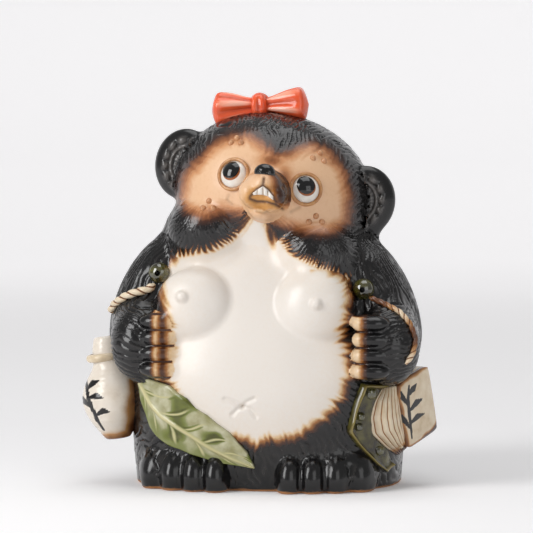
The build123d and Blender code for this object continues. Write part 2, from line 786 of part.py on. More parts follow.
with BuildPart() as pouch:
    add(on_belly(pouch_outline.sketch, POUCH_PROUD))
    cut(feet[LEFT])
    cut(arms[LEFT])
    cut(page_block.part)
    cut(cover_board.part)
finish(pouch.part, "pouch")

stud_x = POUCH_RIGHT - STUD_INSET
with BuildPart() as pouch_studs:
    for step in range(STUD_COUNT):
        stud_z = POUCH_TOP - STUD_INSET - step * STUD_PITCH
        add(dome(on_torso(stud_x, stud_z, POUCH_PROUD), STUD_DIAMETER, STUD_PROUD))
    cut(pouch.part)
    cut(torso_skin)
finish(pouch_studs.part, "pouch_studs")

# Cords moulded over the upper arms, each from a toggle with a bored middle
CORD_ROUTES = {
    RIGHT: (RIGHT_TOGGLE, RIGHT_CORD_BEND, RIGHT_CORD_END),
    LEFT: (LEFT_TOGGLE, LEFT_CORD_BEND, LEFT_CORD_END),
}


def arm_front(side, across, height):
    """Y of the upper arm's front skin at a place across and up it."""
    lean = radians(UPPER_ARM_LEAN)
    from_shoulder = side * across - (CHEST_HALF_WIDTH - UPPER_ARM_INSET)
    from_middle = height - CHEST_HEIGHT
    sideways = (from_shoulder * cos(lean) + from_middle * sin(lean)) / (UPPER_ARM_WIDTH / 2)
    upward = (from_middle * cos(lean) - from_shoulder * sin(lean)) / (UPPER_ARM_LENGTH / 2)
    return -UPPER_ARM_FORWARD - UPPER_ARM_DEPTH / 2 * sqrt(max(0, 1 - sideways**2 - upward**2))


arm_middle = Plane.XZ.offset(UPPER_ARM_FORWARD)
for side, side_name in SIDE_NAMES.items():
    start, bend, end = CORD_ROUTES[side]
    toggle_y = min(torso_front(*start), arm_front(side, *start))
    toggle_skin = dome(Plane(origin=(start[0], toggle_y, start[1])), TOGGLE_DIAMETER, TOGGLE_PROUD)
    with BuildPart() as toggle:
        add(deepcopy(toggle_skin))
        with BuildSketch(arm_middle):
            with Locations(start):
                Circle(TOGGLE_BORE / 2)
        extrude(amount=2 * BELLY_FRONT, mode=Mode.SUBTRACT)
        cut(torso_skin)
        cut(arms[side])
        cut(tuft_skins[side])
    finish(toggle.part, f"{side_name}_toggle")

    with BuildPart() as cord:
        with BuildSketch(arm_middle):
            with BuildLine():
                ThreePointArc(start, bend, end)
            trace(line_width=CORD_WIDTH)
        extrude(amount=2 * BELLY_FRONT)
        add(upper_arm_form(side, CORD_PROUD), mode=Mode.INTERSECT)
        cut(arms[side])
        cut(torso_skin)
        cut(tuft_skins[side])
        cut(toggle_skin)
    finish(cord.part, f"{side_name}_cord")
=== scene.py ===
# %% [markdown]
# # A seated tanuki in glazed stoneware
# The real figure is cast in two hollow halves from a plaster mould. The limbs, bow, leaf, flask and account
# book are luted on with slip, the fur is combed into the clay, and the glazes are sprayed and brushed.
# This lesson loads the solids as a fixed frame, sculpts the clay skin over them, and then glazes it.

# %% Load the solids
import math

import bpy
import numpy as np
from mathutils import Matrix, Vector


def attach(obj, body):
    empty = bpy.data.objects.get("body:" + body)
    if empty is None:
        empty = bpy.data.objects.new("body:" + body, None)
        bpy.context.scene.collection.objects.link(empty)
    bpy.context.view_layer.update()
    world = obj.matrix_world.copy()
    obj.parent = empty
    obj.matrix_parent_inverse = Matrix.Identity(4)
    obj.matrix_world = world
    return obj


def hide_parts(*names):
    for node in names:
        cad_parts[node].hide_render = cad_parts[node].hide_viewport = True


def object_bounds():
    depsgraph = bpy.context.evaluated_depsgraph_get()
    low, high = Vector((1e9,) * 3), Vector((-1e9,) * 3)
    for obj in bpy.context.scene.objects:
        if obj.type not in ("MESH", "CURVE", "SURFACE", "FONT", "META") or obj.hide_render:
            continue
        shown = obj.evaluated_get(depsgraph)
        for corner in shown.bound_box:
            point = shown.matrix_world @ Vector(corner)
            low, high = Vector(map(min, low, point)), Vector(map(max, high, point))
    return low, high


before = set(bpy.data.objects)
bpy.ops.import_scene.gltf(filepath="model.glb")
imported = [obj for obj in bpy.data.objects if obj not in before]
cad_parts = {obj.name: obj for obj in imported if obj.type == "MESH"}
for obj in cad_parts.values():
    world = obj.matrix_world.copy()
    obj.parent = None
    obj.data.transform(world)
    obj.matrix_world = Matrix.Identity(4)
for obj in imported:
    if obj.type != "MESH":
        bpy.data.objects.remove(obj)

MM = 0.001
cad_box = [list(corner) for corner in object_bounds()]
cad_size = [round(high - low, 3) for low, high in zip(*cad_box)]
print("solids loaded:", len(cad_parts), "nodes in", cad_size, "m")

# %% [markdown]
# ## The camera
# The photograph is taken from a little to the figure's left, almost level with its middle and from well
# back, so a long lens fits. Its distance, turn and height were found from the outline. The same sums tell
# where a place on the clay falls in the picture, which helps to lay the sprayed glazes.

# %% Camera
PICTURE = 533
MM_PER_PIXEL = 0.625
TARGET = np.array([0.0, 0.0, 125.0])
TARGET_PIXEL = np.array([270.5, 279.5])
DISTANCE = 1800.0
TURN = math.radians(9.0)
RISE = math.radians(2.8)
TOWARDS_CAMERA = np.array(
    [math.sin(TURN) * math.cos(RISE), -math.cos(TURN) * math.cos(RISE), math.sin(RISE)]
)
RIGHTWARD = np.array([math.cos(TURN), math.sin(TURN), 0.0])
UPWARD = np.cross(TOWARDS_CAMERA, RIGHTWARD)

lens = bpy.data.cameras.new("long_lens")
lens.sensor_width = 36.0
lens.lens = lens.sensor_width * DISTANCE / (PICTURE * MM_PER_PIXEL)
lens.shift_x = (PICTURE / 2 - TARGET_PIXEL[0]) / PICTURE
lens.shift_y = (TARGET_PIXEL[1] - PICTURE / 2) / PICTURE
camera = bpy.data.objects.new("camera", lens)
camera.location = Vector((TARGET + DISTANCE * TOWARDS_CAMERA) * MM)
camera.rotation_euler = Vector(-TOWARDS_CAMERA).to_track_quat("-Z", "Y").to_euler()
bpy.context.scene.collection.objects.link(camera)
bpy.context.scene.camera = camera


def in_picture(places):
    """Where places on the figure, in millimetres, fall in the photograph, in its pixels."""
    away = places - TARGET
    shrink = DISTANCE / (DISTANCE - away @ TOWARDS_CAMERA) / MM_PER_PIXEL
    return TARGET_PIXEL + np.stack([away @ RIGHTWARD * shrink, -(away @ UPWARD) * shrink], 1)


print("camera:", round(lens.lens), "mm lens at", round(DISTANCE), "mm")

# %% [markdown]
# ## The forms under the clay
# A sculptor starts with simple lumps: a barrel for the torso, an egg for the head, smaller eggs for cheeks,
# arms, paws and toes. Each lump is written as a distance: below zero inside, above zero outside. Distances
# can be blended softly, just as a wet thumb blends clay, which is hard to do with separate meshes.

# %% Lumps
RIGHT, LEFT = -1, 1
SIDE_NAMES = {RIGHT: "right", LEFT: "left"}
HEAD_MIDDLE = np.array([4.0, -12.0, 180.0])
HEAD_TILT = math.radians(11.5)
FACE_ASIDE = 4.0
HEAD_HALF = np.array([62.0, 56.0, 49.0])
UPRIGHT = np.eye(3)


def turned(angle, about):
    """Axes, as rows, turned by an angle about the across (0), deep (1) or upright (2) axis."""
    c, s = math.cos(angle), math.sin(angle)
    rows = {
        0: [[1, 0, 0], [0, c, s], [0, -s, c]],
        1: [[c, 0, -s], [0, 1, 0], [s, 0, c]],
        2: [[c, s, 0], [-s, c, 0], [0, 0, 1]],
    }
    return np.array(rows[about], float)


HEAD_AXES = turned(HEAD_TILT, 1)


def on_head(across, depth, rise):
    """A place in the tilted head's own frame, as a place on the figure."""
    return HEAD_MIDDLE + np.array([across, depth, rise]) @ HEAD_AXES


def face_depth(across, rise):
    """Depth of the face's skin in the head's frame."""
    return -HEAD_HALF[1] * math.sqrt(1 - (across / HEAD_HALF[0]) ** 2 - (rise / HEAD_HALF[2]) ** 2)


print("head egg:", (2 * HEAD_HALF).tolist(), "mm")

# %% Eggs and soft blends


def egg(name, piece, middle, size, axes=UPRIGHT, hollow=None):
    """A rounded lump: its name, the piece it belongs to, its middle, its full size and its axes."""
    return {"name": name, "piece": piece, "middle": np.array(middle, float),
            "half": np.array(size, float) / 2, "axes": axes, "hollow": hollow}


def egg_distance(lump, places):
    """Signed distance from a lump's skin, close enough near the skin."""
    local = (places - lump["middle"]) @ lump["axes"].T
    near = np.linalg.norm(local / lump["half"], axis=1)
    slope = np.linalg.norm(local / lump["half"] ** 2, axis=1)
    distance = near * (near - 1) / np.maximum(slope, 1e-6)
    if lump["hollow"]:
        distance = soft_max(distance, -egg_distance(lump["hollow"], places), 1.5)
    return distance


def soft_min(a, b, blend):
    """The nearer of two skins, with the corner between them filled over a width."""
    share = np.clip(0.5 + 0.5 * (b - a) / blend, 0, 1)
    return b + (a - b) * share - blend * share * (1 - share)


def soft_max(a, b, blend):
    """The farther of two skins, with the edge between them rounded over a width."""
    return -soft_min(-a, -b, blend)


print("a blend over 8 mm fills a corner by", -float(soft_min(0.0, 0.0, 8.0)), "mm")

# %% [markdown]
# ## The barrel of the torso
# The torso is wide at the hip and narrows to the neck, and seen from above it is a rounded square, so no egg
# fits it. A maker would check it with a gauge at a few heights. Here its girth is given at seven levels and
# smoothed between them.

# %% Torso
# Each level has a height, a half width, and a reach to the front and to the back
TORSO_LEVELS = np.array([
    [0, 82, 66, 58], [30, 84, 74, 62], [68, 83, 80, 65], [114, 79, 68, 61],
    [146, 69, 56, 53], [172, 57, 44, 45], [190, 26, 20, 22],
], float)
TORSO_TOP = 186
SQUARENESS = 2.5
WALL = 5.0
torso_steps = np.arange(0, 191.0)
slopes = np.gradient(TORSO_LEVELS[:, 1:], TORSO_LEVELS[:, 0], axis=0)
gap = np.clip(np.searchsorted(TORSO_LEVELS[:, 0], torso_steps, "right") - 1, 0, len(TORSO_LEVELS) - 2)
span = (TORSO_LEVELS[gap + 1, 0] - TORSO_LEVELS[gap, 0])[:, None]
share = (torso_steps - TORSO_LEVELS[gap, 0])[:, None] / span
torso_girth = (
    (1 + 2 * share) * (1 - share) ** 2 * TORSO_LEVELS[gap, 1:]
    + share * (1 - share) ** 2 * span * slopes[gap]
    + share**2 * (3 - 2 * share) * TORSO_LEVELS[gap + 1, 1:]
    + share**2 * (share - 1) * span * slopes[gap + 1]
)


def torso_distance(places):
    """Signed distance from the barrel of the torso."""
    half, front, back = (np.interp(places[:, 2], torso_steps, torso_girth[:, i]) for i in range(3))
    reach = (front + back) / 2
    across = np.abs(places[:, 0]) / half
    deep = np.abs(places[:, 1] - (back - front) / 2) / reach
    ring = (across**SQUARENESS + deep**SQUARENESS) ** (1 / SQUARENESS) + 1e-6
    slope = np.hypot((across / ring) ** (SQUARENESS - 1) / half, (deep / ring) ** (SQUARENESS - 1) / reach)
    return np.maximum((ring - 1) / np.maximum(slope, 1e-6), places[:, 2] - TORSO_TOP)


def torso_front(across, height):
    """Y of the torso's front skin."""
    half, front, back = (np.interp(height, torso_steps, torso_girth[:, i]) for i in range(3))
    fall = 1 - np.minimum(1, np.abs(across) / half) ** SQUARENESS
    return (back - front) / 2 - (front + back) / 2 * fall ** (1 / SQUARENESS)


print("torso levels:", len(TORSO_LEVELS), "smoothed to", len(torso_steps))

# %% [markdown]
# ## Lumps in groups
# Lumps that belong together, such as an arm, its paw and its fingers, are blended with each other first and
# then with the whole. A wide blend makes a soft shoulder, a narrow one keeps the crease between two toes.

# %% Torso and arms in groups
# A group is its blend with the rest, and its lumps, each with its blend into the group
torso = {"name": "torso", "piece": "body", "half": None}
BREAST_ASIDE, BREAST_HEIGHT = 36.0, 111.0
breast_y = float(torso_front(BREAST_ASIDE, BREAST_HEIGHT)) + 6
groups = [(0.0, [(torso, 0)] + [
    (egg("breast", "body", (side * BREAST_ASIDE, breast_y, BREAST_HEIGHT), (50, 38, 48)), 2.5)
    for side in SIDE_NAMES
])]
HANDS_ASIDE, FINGERS_ASIDE = 4.5, 6.5
KNUCKLE_APART, LOWEST_FINGER, FINGER_PITCH = 65.5, 73.6, 9.6
arm_axes = {side: turned(-side * math.radians(24), 1) for side in SIDE_NAMES}
arm_middle = {side: np.array([side * 71.0, -22.0, 114.0]) for side in SIDE_NAMES}
for side, name in SIDE_NAMES.items():
    arm = [
        (egg("upper_arm", f"{name}_arm", arm_middle[side], (42, 62, 88), arm_axes[side]), 0),
        (egg("fist", f"{name}_arm", (side * 76 + HANDS_ASIDE, -52, 88), (38, 44, 48)), 12),
    ]
    for finger in range(4):
        height = LOWEST_FINGER + FINGER_PITCH * finger
        knuckle = np.array([side * KNUCKLE_APART + FINGERS_ASIDE, -68.5, height])
        arm.append((egg("finger", f"{name}_arm", knuckle, (22, 17, 10.8)), 1.6))
        arm.append((egg("finger", f"{name}_arm", knuckle - (side * 5.5, 0, 0), (12.5, 15.5, 10.2)), 1.0))
    groups.append((7.0, arm))
print("body and arms:", sum(len(members) for _, members in groups), "lumps")

# %% Head in a group
snout_depth = face_depth(FACE_ASIDE, -2)
snout_middle = on_head(FACE_ASIDE, snout_depth, 0)
JOWL_SIZE = (52, 50, 44)
jowl_axes = {side: turned(side * math.radians(16), 1) @ HEAD_AXES for side in SIDE_NAMES}
jowl_middle = {side: on_head(FACE_ASIDE + side * 33, -31, -29) for side in SIDE_NAMES}
head = [(egg("head", "head", HEAD_MIDDLE, 2 * HEAD_HALF, HEAD_AXES), 0)]
for side, name in SIDE_NAMES.items():
    head.append((egg("cheek", f"{name}_cheek_tuft", jowl_middle[side], JOWL_SIZE, jowl_axes[side]), 4))
snout_axes = turned(math.radians(-20), 0) @ HEAD_AXES
head.append((egg("muzzle", "muzzle", snout_middle, (28, 48, 28), snout_axes), 6))
for side in SIDE_NAMES:
    lip_axes = turned(side * math.radians(30), 1) @ snout_axes
    lip_middle = snout_middle + np.array([side * 7.5, -13, -5.5]) @ snout_axes
    head.append((egg("muzzle", "muzzle", lip_middle, (13, 17, 16), lip_axes), 2))
chin = on_head(FACE_ASIDE, face_depth(FACE_ASIDE, -11), -11)
head.append((egg("jaw", "lower_jaw", chin, (16, 34, 10), HEAD_AXES), 2))
ear_dishes = {}
for side, name in SIDE_NAMES.items():
    swing = turned(side * math.radians(12), 2) @ HEAD_AXES
    middle = on_head(side * 57, -8, 6)
    dish_middle = middle + np.array([-side * 1.5, -9.5, 0]) @ swing
    ear_dishes[side] = egg("dish", "", dish_middle, (27, 14, 34), swing)
    head.append((egg("ear", f"{name}_ear", middle, (39, 18, 44), swing, ear_dishes[side]), 3))
groups.append((9.0, head))
print("head:", len(head), "lumps")

# %% Feet and tail in groups
FOOT_ASIDE, INSTEP_AHEAD, INSTEP_SIZE = 43.0, 8, (62, 46, 42.6)
TOE_PITCH, TOE_AHEAD, TOE_SIZE = 13.6, 15, (17.5, 28, 30.6)
for side, name in SIDE_NAMES.items():
    instep_y = float(torso_front(FOOT_ASIDE, 0)) - INSTEP_AHEAD + INSTEP_SIZE[1] / 2
    foot = [(egg("instep", f"{name}_foot", (side * FOOT_ASIDE, instep_y, 10.7), INSTEP_SIZE), 0)]
    for toe in range(4):
        toe_x = side * FOOT_ASIDE + (toe - 1.5) * TOE_PITCH
        toe_y = float(torso_front(toe_x, 0)) - TOE_AHEAD + TOE_SIZE[1] / 2
        foot.append((egg("toe", f"{name}_foot", (toe_x, toe_y, 7.7), TOE_SIZE), 3.0))
    groups.append((3.0, foot))
groups.append((6.0, [(egg("tail", "tail", (8, 58, 19), (44, 40, 114)), 0)]))
lumps = [lump for _, members in groups for lump, _ in members]
print("lumps:", len(lumps), "in", len(groups), "groups")

# %% The whole clay
FAR = 60.0
BLEND_REACH = 26


def clay(places):
    """Signed distance from the whole clay skin, and which lump is nearest."""
    whole = np.full(len(places), FAR)
    nearest = np.full(len(places), FAR)
    owner = np.zeros(len(places), np.int32)
    count = 0
    for blend, members in groups:
        together = np.full(len(places), FAR)
        for lump, own_blend in members:
            if lump["half"] is None:
                distance = torso_distance(places)
                barrel = distance
            else:
                reach = lump["half"].max() + BLEND_REACH
                close = np.flatnonzero((np.abs(places - lump["middle"]) < reach).all(1))
                distance = np.full(len(places), FAR)
                distance[close] = egg_distance(lump, places[close])
            if own_blend:
                together = soft_min(together, distance, own_blend)
            else:
                together = np.minimum(together, distance)
            won = distance < nearest
            nearest[won] = distance[won]
            owner[won] = count
            count += 1
        whole = soft_min(whole, together, blend) if blend else np.minimum(whole, together)
    # A recess under the figure leaves room for the base slab
    recess = np.maximum(barrel + WALL, places[:, 2] - WALL - 1)
    whole = soft_max(whole, -places[:, 2], 1.0)
    return np.maximum(whole, -recess), owner


def clay_distance(places):
    """Signed distance from the whole clay skin."""
    return clay(places)[0]


print("the snout's middle lies", round(float(-clay_distance(snout_middle[None])[0]), 1), "mm inside the clay")

# %% [markdown]
# ## From distances to a skin
# A grid of points is laid through the clay. Wherever the distance changes sign between neighbours the skin
# passes, so one vertex goes into each such cell and quads join the cells. The quads are then split once and
# every vertex is moved along its normal until its distance is zero, which makes the skin smooth.

# %% Surface net
PITCH = 1.58


def surface_net(distance_of, low, high, pitch):
    """Vertices and quads of the zero surface of a distance, on a grid of that pitch."""
    counts = np.ceil((high - low) / pitch).astype(int) + 1
    grid = np.stack(np.meshgrid(*[np.arange(n) for n in counts], indexing="ij"), -1).reshape(-1, 3)
    values = distance_of(low + grid * pitch).reshape(counts)
    inside = values < 0
    corners = np.array([[i, j, k] for i in (0, 1) for j in (0, 1) for k in (0, 1)])
    filled = sum(inside[i:counts[0] - 1 + i, j:counts[1] - 1 + j, k:counts[2] - 1 + k].astype(np.int8)
                 for i, j, k in corners)
    cells = np.argwhere((filled > 0) & (filled < 8))
    at = values[tuple((cells[:, None] + corners).transpose(2, 0, 1))]
    total = np.zeros((len(cells), 3))
    hits = np.zeros(len(cells))
    for a in range(8):
        for b in range(a + 1, 8):
            if np.abs(corners[a] - corners[b]).sum() == 1:
                cross = (at[:, a] < 0) != (at[:, b] < 0)
                share = at[cross, a] / (at[cross, a] - at[cross, b])
                total[cross] += corners[a] + share[:, None] * (corners[b] - corners[a])
                hits[cross] += 1
    vertices = low + (cells + total / hits[:, None]) * pitch
    number = np.full(counts, -1)
    number[tuple(cells.T)] = np.arange(len(cells))
    quads = []
    for axis in range(3):
        first = np.take(inside, np.arange(counts[axis] - 1), axis)
        second = np.take(inside, np.arange(1, counts[axis]), axis)
        edge = np.argwhere(first != second)
        around = []
        for back_b, back_c in ((1, 1), (0, 1), (0, 0), (1, 0)):
            cell = edge.copy()
            cell[:, (axis + 1) % 3] -= back_b
            cell[:, (axis + 2) % 3] -= back_c
            around.append(number[tuple(cell.T)])
        ring = np.stack(around, 1)
        facing = first[tuple(edge.T)]
        ring[~facing] = ring[~facing][:, ::-1]
        quads.append(ring)
    return vertices, np.concatenate(quads)


print("grid pitch:", PITCH, "mm")

# %% Smooth skin


def normals_of(vertices, quads):
    """Vertex normals of a quad mesh."""
    across = vertices[quads[:, 2]] - vertices[quads[:, 0]]
    along = vertices[quads[:, 3]] - vertices[quads[:, 1]]
    facing = np.cross(across, along)
    normals = np.stack([
        np.bincount(quads.ravel(), np.repeat(facing[:, i], 4), len(vertices)) for i in range(3)
    ], 1)
    return normals / np.maximum(np.linalg.norm(normals, axis=1), 1e-9)[:, None]


def split_quads(vertices, quads):
    """Each quad split into four."""
    edges = np.stack([quads, np.roll(quads, -1, 1)], 2).reshape(-1, 2)
    keys, which = np.unique(np.sort(edges, 1), axis=0, return_inverse=True)
    middle = len(vertices) + which.reshape(-1, 4)
    centre = len(vertices) + len(keys) + np.arange(len(quads))
    points = np.concatenate([vertices, vertices[keys].mean(1), vertices[quads].mean(1)])
    parts = [np.stack([quads[:, i], middle[:, i], centre, middle[:, i - 1]], 1) for i in range(4)]
    return points, np.concatenate(parts)


MARGIN = 5
low = np.array(cad_box[0]) / MM - MARGIN
high = np.array(cad_box[1]) / MM + MARGIN
skin, quads = surface_net(clay_distance, low, high, PITCH)
for _ in range(2):
    skin = skin - np.clip(clay_distance(skin), -1, 1)[:, None] * normals_of(skin, quads)
skin, quads = split_quads(skin, quads)
for _ in range(2):
    distance, owner = clay(skin)
    skin = skin - np.clip(distance, -1, 1)[:, None] * normals_of(skin, quads)
normals = normals_of(skin, quads)
lump_names = np.array([lump["name"] for lump in lumps])[owner]
print("skin:", len(skin), "vertices,", len(quads), "quads")

# %% [markdown]
# ## Combing the fur
# On the real figure a toothed comb is drawn through the leather-hard clay, away from the face and down the
# limbs, in short strokes that start and end. Each lump gets a direction to comb across and a direction to
# comb along. A stroke number comes from the first, and the second breaks each stroke into short lengths.

# %% Scatter and noise


def hashed(*numbers):
    """A repeatable scatter between 0 and 1 for whole numbers."""
    mixed = sum(n * step for n, step in zip(numbers, (12.9898, 78.233, 37.719)))
    return np.mod(np.sin(mixed) * 43758.5453, 1.0)


def cloudy(places, size, seed=0):
    """Soft noise between -1 and 1 with features of a given size in millimetres."""
    scaled = places / size + 37.0 * seed
    base = np.floor(scaled)
    blend = scaled - base
    blend = blend * blend * (3 - 2 * blend)
    total = np.zeros(places.shape[:-1])
    for corner in np.ndindex(2, 2, 2):
        x_share, y_share, z_share = np.moveaxis(np.where(corner, blend, 1 - blend), -1, 0)
        total += x_share * y_share * z_share * hashed(*np.moveaxis(base + corner, -1, 0))
    return total * 2 - 1


def step_up(value, low_end, high_end):
    """A smooth rise from 0 to 1 between two ends."""
    share = np.clip((value - low_end) / (high_end - low_end), 0, 1)
    return share * share * (3 - 2 * share)


print("noise at the snout:", round(float(cloudy(snout_middle, 5)), 3))

# %% Comb directions
in_head = (skin - HEAD_MIDDLE) @ HEAD_AXES.T
face_across, face_rise = in_head[:, 0] - FACE_ASIDE, in_head[:, 2] + 4
picture = in_picture(skin)
across = np.zeros(len(skin))
along = np.zeros(len(skin))
from_dish = np.full(len(skin), 9.0)

# An angle times a radius in millimetres gives a place round a lump
FACE_ROUND, FACE_LONG, BELLY_ROUND, BACK_ROUND, JOWL_ROUND, ARM_ROUND, EAR_ROUND = 50, 55, 62, 78, 36, 26, 13
around_face = np.arctan2(face_rise, face_across)
from_face = np.arctan2(np.hypot(face_across, face_rise), -in_head[:, 1] + 20)
on_the_head = np.isin(lump_names, ["head", "cheek"])
across[on_the_head] = FACE_ROUND * around_face[on_the_head]
along[on_the_head] = FACE_LONG * from_face[on_the_head]

body = np.isin(lump_names, ["torso", "breast"])
front_body = body & (skin[:, 1] < 0)
BELLY_MIDDLE_X, BELLY_MIDDLE_Z = 2, 88
belly_x, belly_z = skin[:, 0] - BELLY_MIDDLE_X, skin[:, 2] - BELLY_MIDDLE_Z
across[front_body] = BELLY_ROUND * np.arctan2(belly_z, belly_x)[front_body]
along[front_body] = np.hypot(belly_x, belly_z)[front_body]
back_body = body & (skin[:, 1] >= 0) | (lump_names == "tail")
across[back_body] = BACK_ROUND * np.arctan2(skin[:, 1], skin[:, 0])[back_body]
along[back_body] = skin[back_body, 2]

for side in SIDE_NAMES:
    own = skin[:, 0] * side > 0
    cheek = (lump_names == "cheek") & ((skin[:, 0] - FACE_ASIDE) * side > 0)
    in_jowl = (skin - jowl_middle[side]) @ jowl_axes[side].T + np.array([0, 0, -20])
    across[cheek] = JOWL_ROUND * np.arctan2(in_jowl[:, 0], -in_jowl[:, 2])[cheek]
    along[cheek] = np.hypot(in_jowl[:, 0], in_jowl[:, 2])[cheek]
    arm = own & (lump_names == "upper_arm")
    local = (skin - arm_middle[side]) @ arm_axes[side].T
    across[arm] = ARM_ROUND * np.arctan2(local[:, 1], local[:, 0])[arm]
    along[arm] = local[arm, 2]
    fist = own & (lump_names == "fist")
    across[fist] = skin[fist, 2] - 0.35 * np.abs(skin[fist, 0])
    along[fist] = np.abs(skin[fist, 0]) - skin[fist, 1]
    ear = own & (lump_names == "ear")
    dish = ear_dishes[side]
    in_ear = (skin - dish["middle"]) @ dish["axes"].T
    across[ear] = EAR_ROUND * np.arctan2(in_ear[:, 2], in_ear[:, 0])[ear]
    along[ear] = 0
    from_dish[ear] = np.hypot(in_ear[:, 0] / dish["half"][0], in_ear[:, 2] / dish["half"][2])[ear]
instep = lump_names == "instep"
across[instep] = skin[instep, 0]
along[instep] = skin[instep, 2]
print("combed from", len(set(lump_names)), "kinds of lump")

# %% Comb strokes
COMB_PITCH = 3.3
STROKE = 24.0
wander = 1.5 * cloudy(skin, 16, 1) + 0.55 * cloudy(skin, 6, 2)
tooth = across / COMB_PITCH + wander
stroke_number = np.floor(tooth)
ridge = np.abs(np.sin(np.pi * tooth))
reach = along / STROKE + hashed(stroke_number, owner * 1.0)
reach = reach - np.floor(reach)
bitten = step_up(reach, 0, 0.18) * (1 - step_up(reach, 0.75, 1.0))
depth_of_stroke = 0.45 + 0.55 * hashed(stroke_number, np.floor(along / STROKE), owner * 1.0)
comb = (1 - ridge**0.6) * bitten * depth_of_stroke
print("combed:", round(float((comb > 0.3).mean()) * 100), "percent of the skin is in a groove")

# %% [markdown]
# ## Where the sprayed glazes end
# The belly is white, the face peach, and the rest black iron glaze. Where they meet, the maker sprays brown,
# which burns from cream through tan to black, and drags it into hair points. The borders are drawn as a few
# points in the picture, and each vertex asks how far inside or outside it falls.

# %% Glaze borders
BELLY = np.array([
    (249, 207), (268, 207), (267, 224), (276, 236), (285, 246), (297, 254), (312, 260), (335, 268),
    (352, 278), (353, 297), (349, 315), (344, 335), (350, 352), (353, 375), (346, 395), (331, 415),
    (308, 433), (287, 443), (255, 446), (225, 440), (195, 425), (172, 400), (163, 378), (168, 350),
    (166, 325), (160, 300), (158, 285), (160, 264), (185, 248), (210, 243), (228, 238), (240, 228),
    (248, 218),
], float)
FACE = np.array([
    (180, 198), (186, 178), (206, 155), (230, 138), (248, 137), (262, 147), (273, 157), (290, 156),
    (310, 147), (330, 154), (342, 172), (347, 197), (345, 220), (330, 231), (308, 229), (282, 222),
    (266, 216), (245, 214), (222, 209), (200, 214), (186, 208),
], float)


def runs_of(line, places):
    """Each run of a line: its start and vector, and how far along it and from it the places are."""
    line = np.array(line, float)
    for start, end in zip(line, line[1:]):
        run = end - start
        share = np.clip(((places - start) @ run) / (run @ run), 0, 1)
        yield start, run, share, np.linalg.norm(places - start - share[:, None] * run, axis=1)


def beyond(border, places):
    """Distance in pixels from a closed border: above zero outside it, below zero inside."""
    nearest = np.full(len(places), np.inf)
    inside = np.zeros(len(places), bool)
    for start, run, _, away in runs_of([*border, border[0]], places):
        nearest = np.minimum(nearest, away)
        crosses = (start[1] > places[:, 1]) != (start[1] + run[1] > places[:, 1])
        rise = run[1] if run[1] else 1e-9
        inside ^= crosses & (places[:, 0] < run[0] * (places[:, 1] - start[1]) / rise + start[0])
    return np.where(inside, -nearest, nearest)


def smudge(middle, size):
    """A soft spot of glaze in the picture, from 1 in its middle to 0 away from it."""
    return np.exp(-(((picture - middle) / size) ** 2).sum(1))


facing = normals @ TOWARDS_CAMERA
strand_shade = hashed(stroke_number, owner * 3.0) - 0.5
hair = strand_shade * ridge
past_belly = beyond(BELLY, picture) + 9 * hair
past_face = beyond(FACE, picture) + 4 * hair + 2 * cloudy(skin, 9, 5)
print("inside the belly's border:", int((past_belly < 0).sum()), "vertices")

# %% Belly, face and throat
burn = np.ones(len(skin))
face = np.zeros(len(skin))
ochre = np.zeros(len(skin))
burn[front_body] = np.clip((past_belly[front_body] + 13) / 21, 0, 1)
belly_edge = np.clip(1 + past_belly / 60, 0, 1) ** 2
burn[front_body] = np.maximum(burn[front_body], 0.12 * belly_edge[front_body])

on_face = on_the_head & (skin[:, 1] < 0)
behind_ears = step_up(skin[:, 1] + 3 * hair, -13, -2)
burn[on_face] = np.maximum(np.clip((past_face + 9) / 24, 0, 1), behind_ears)[on_face]
face[on_face] = 1 - step_up(past_face[on_face], 10, 20)

THROAT_TOP = 206
under_chin = (lump_names == "head") & (face_rise < -8) & (picture[:, 1] > THROAT_TOP)
throat = under_chin & (skin[:, 1] < 0) & (past_belly < 5)
burn[throat] = np.clip((past_belly[throat] + 9) / 17, 0, 1)
face[throat] = 0
print("throat:", int(throat.sum()), "vertices")

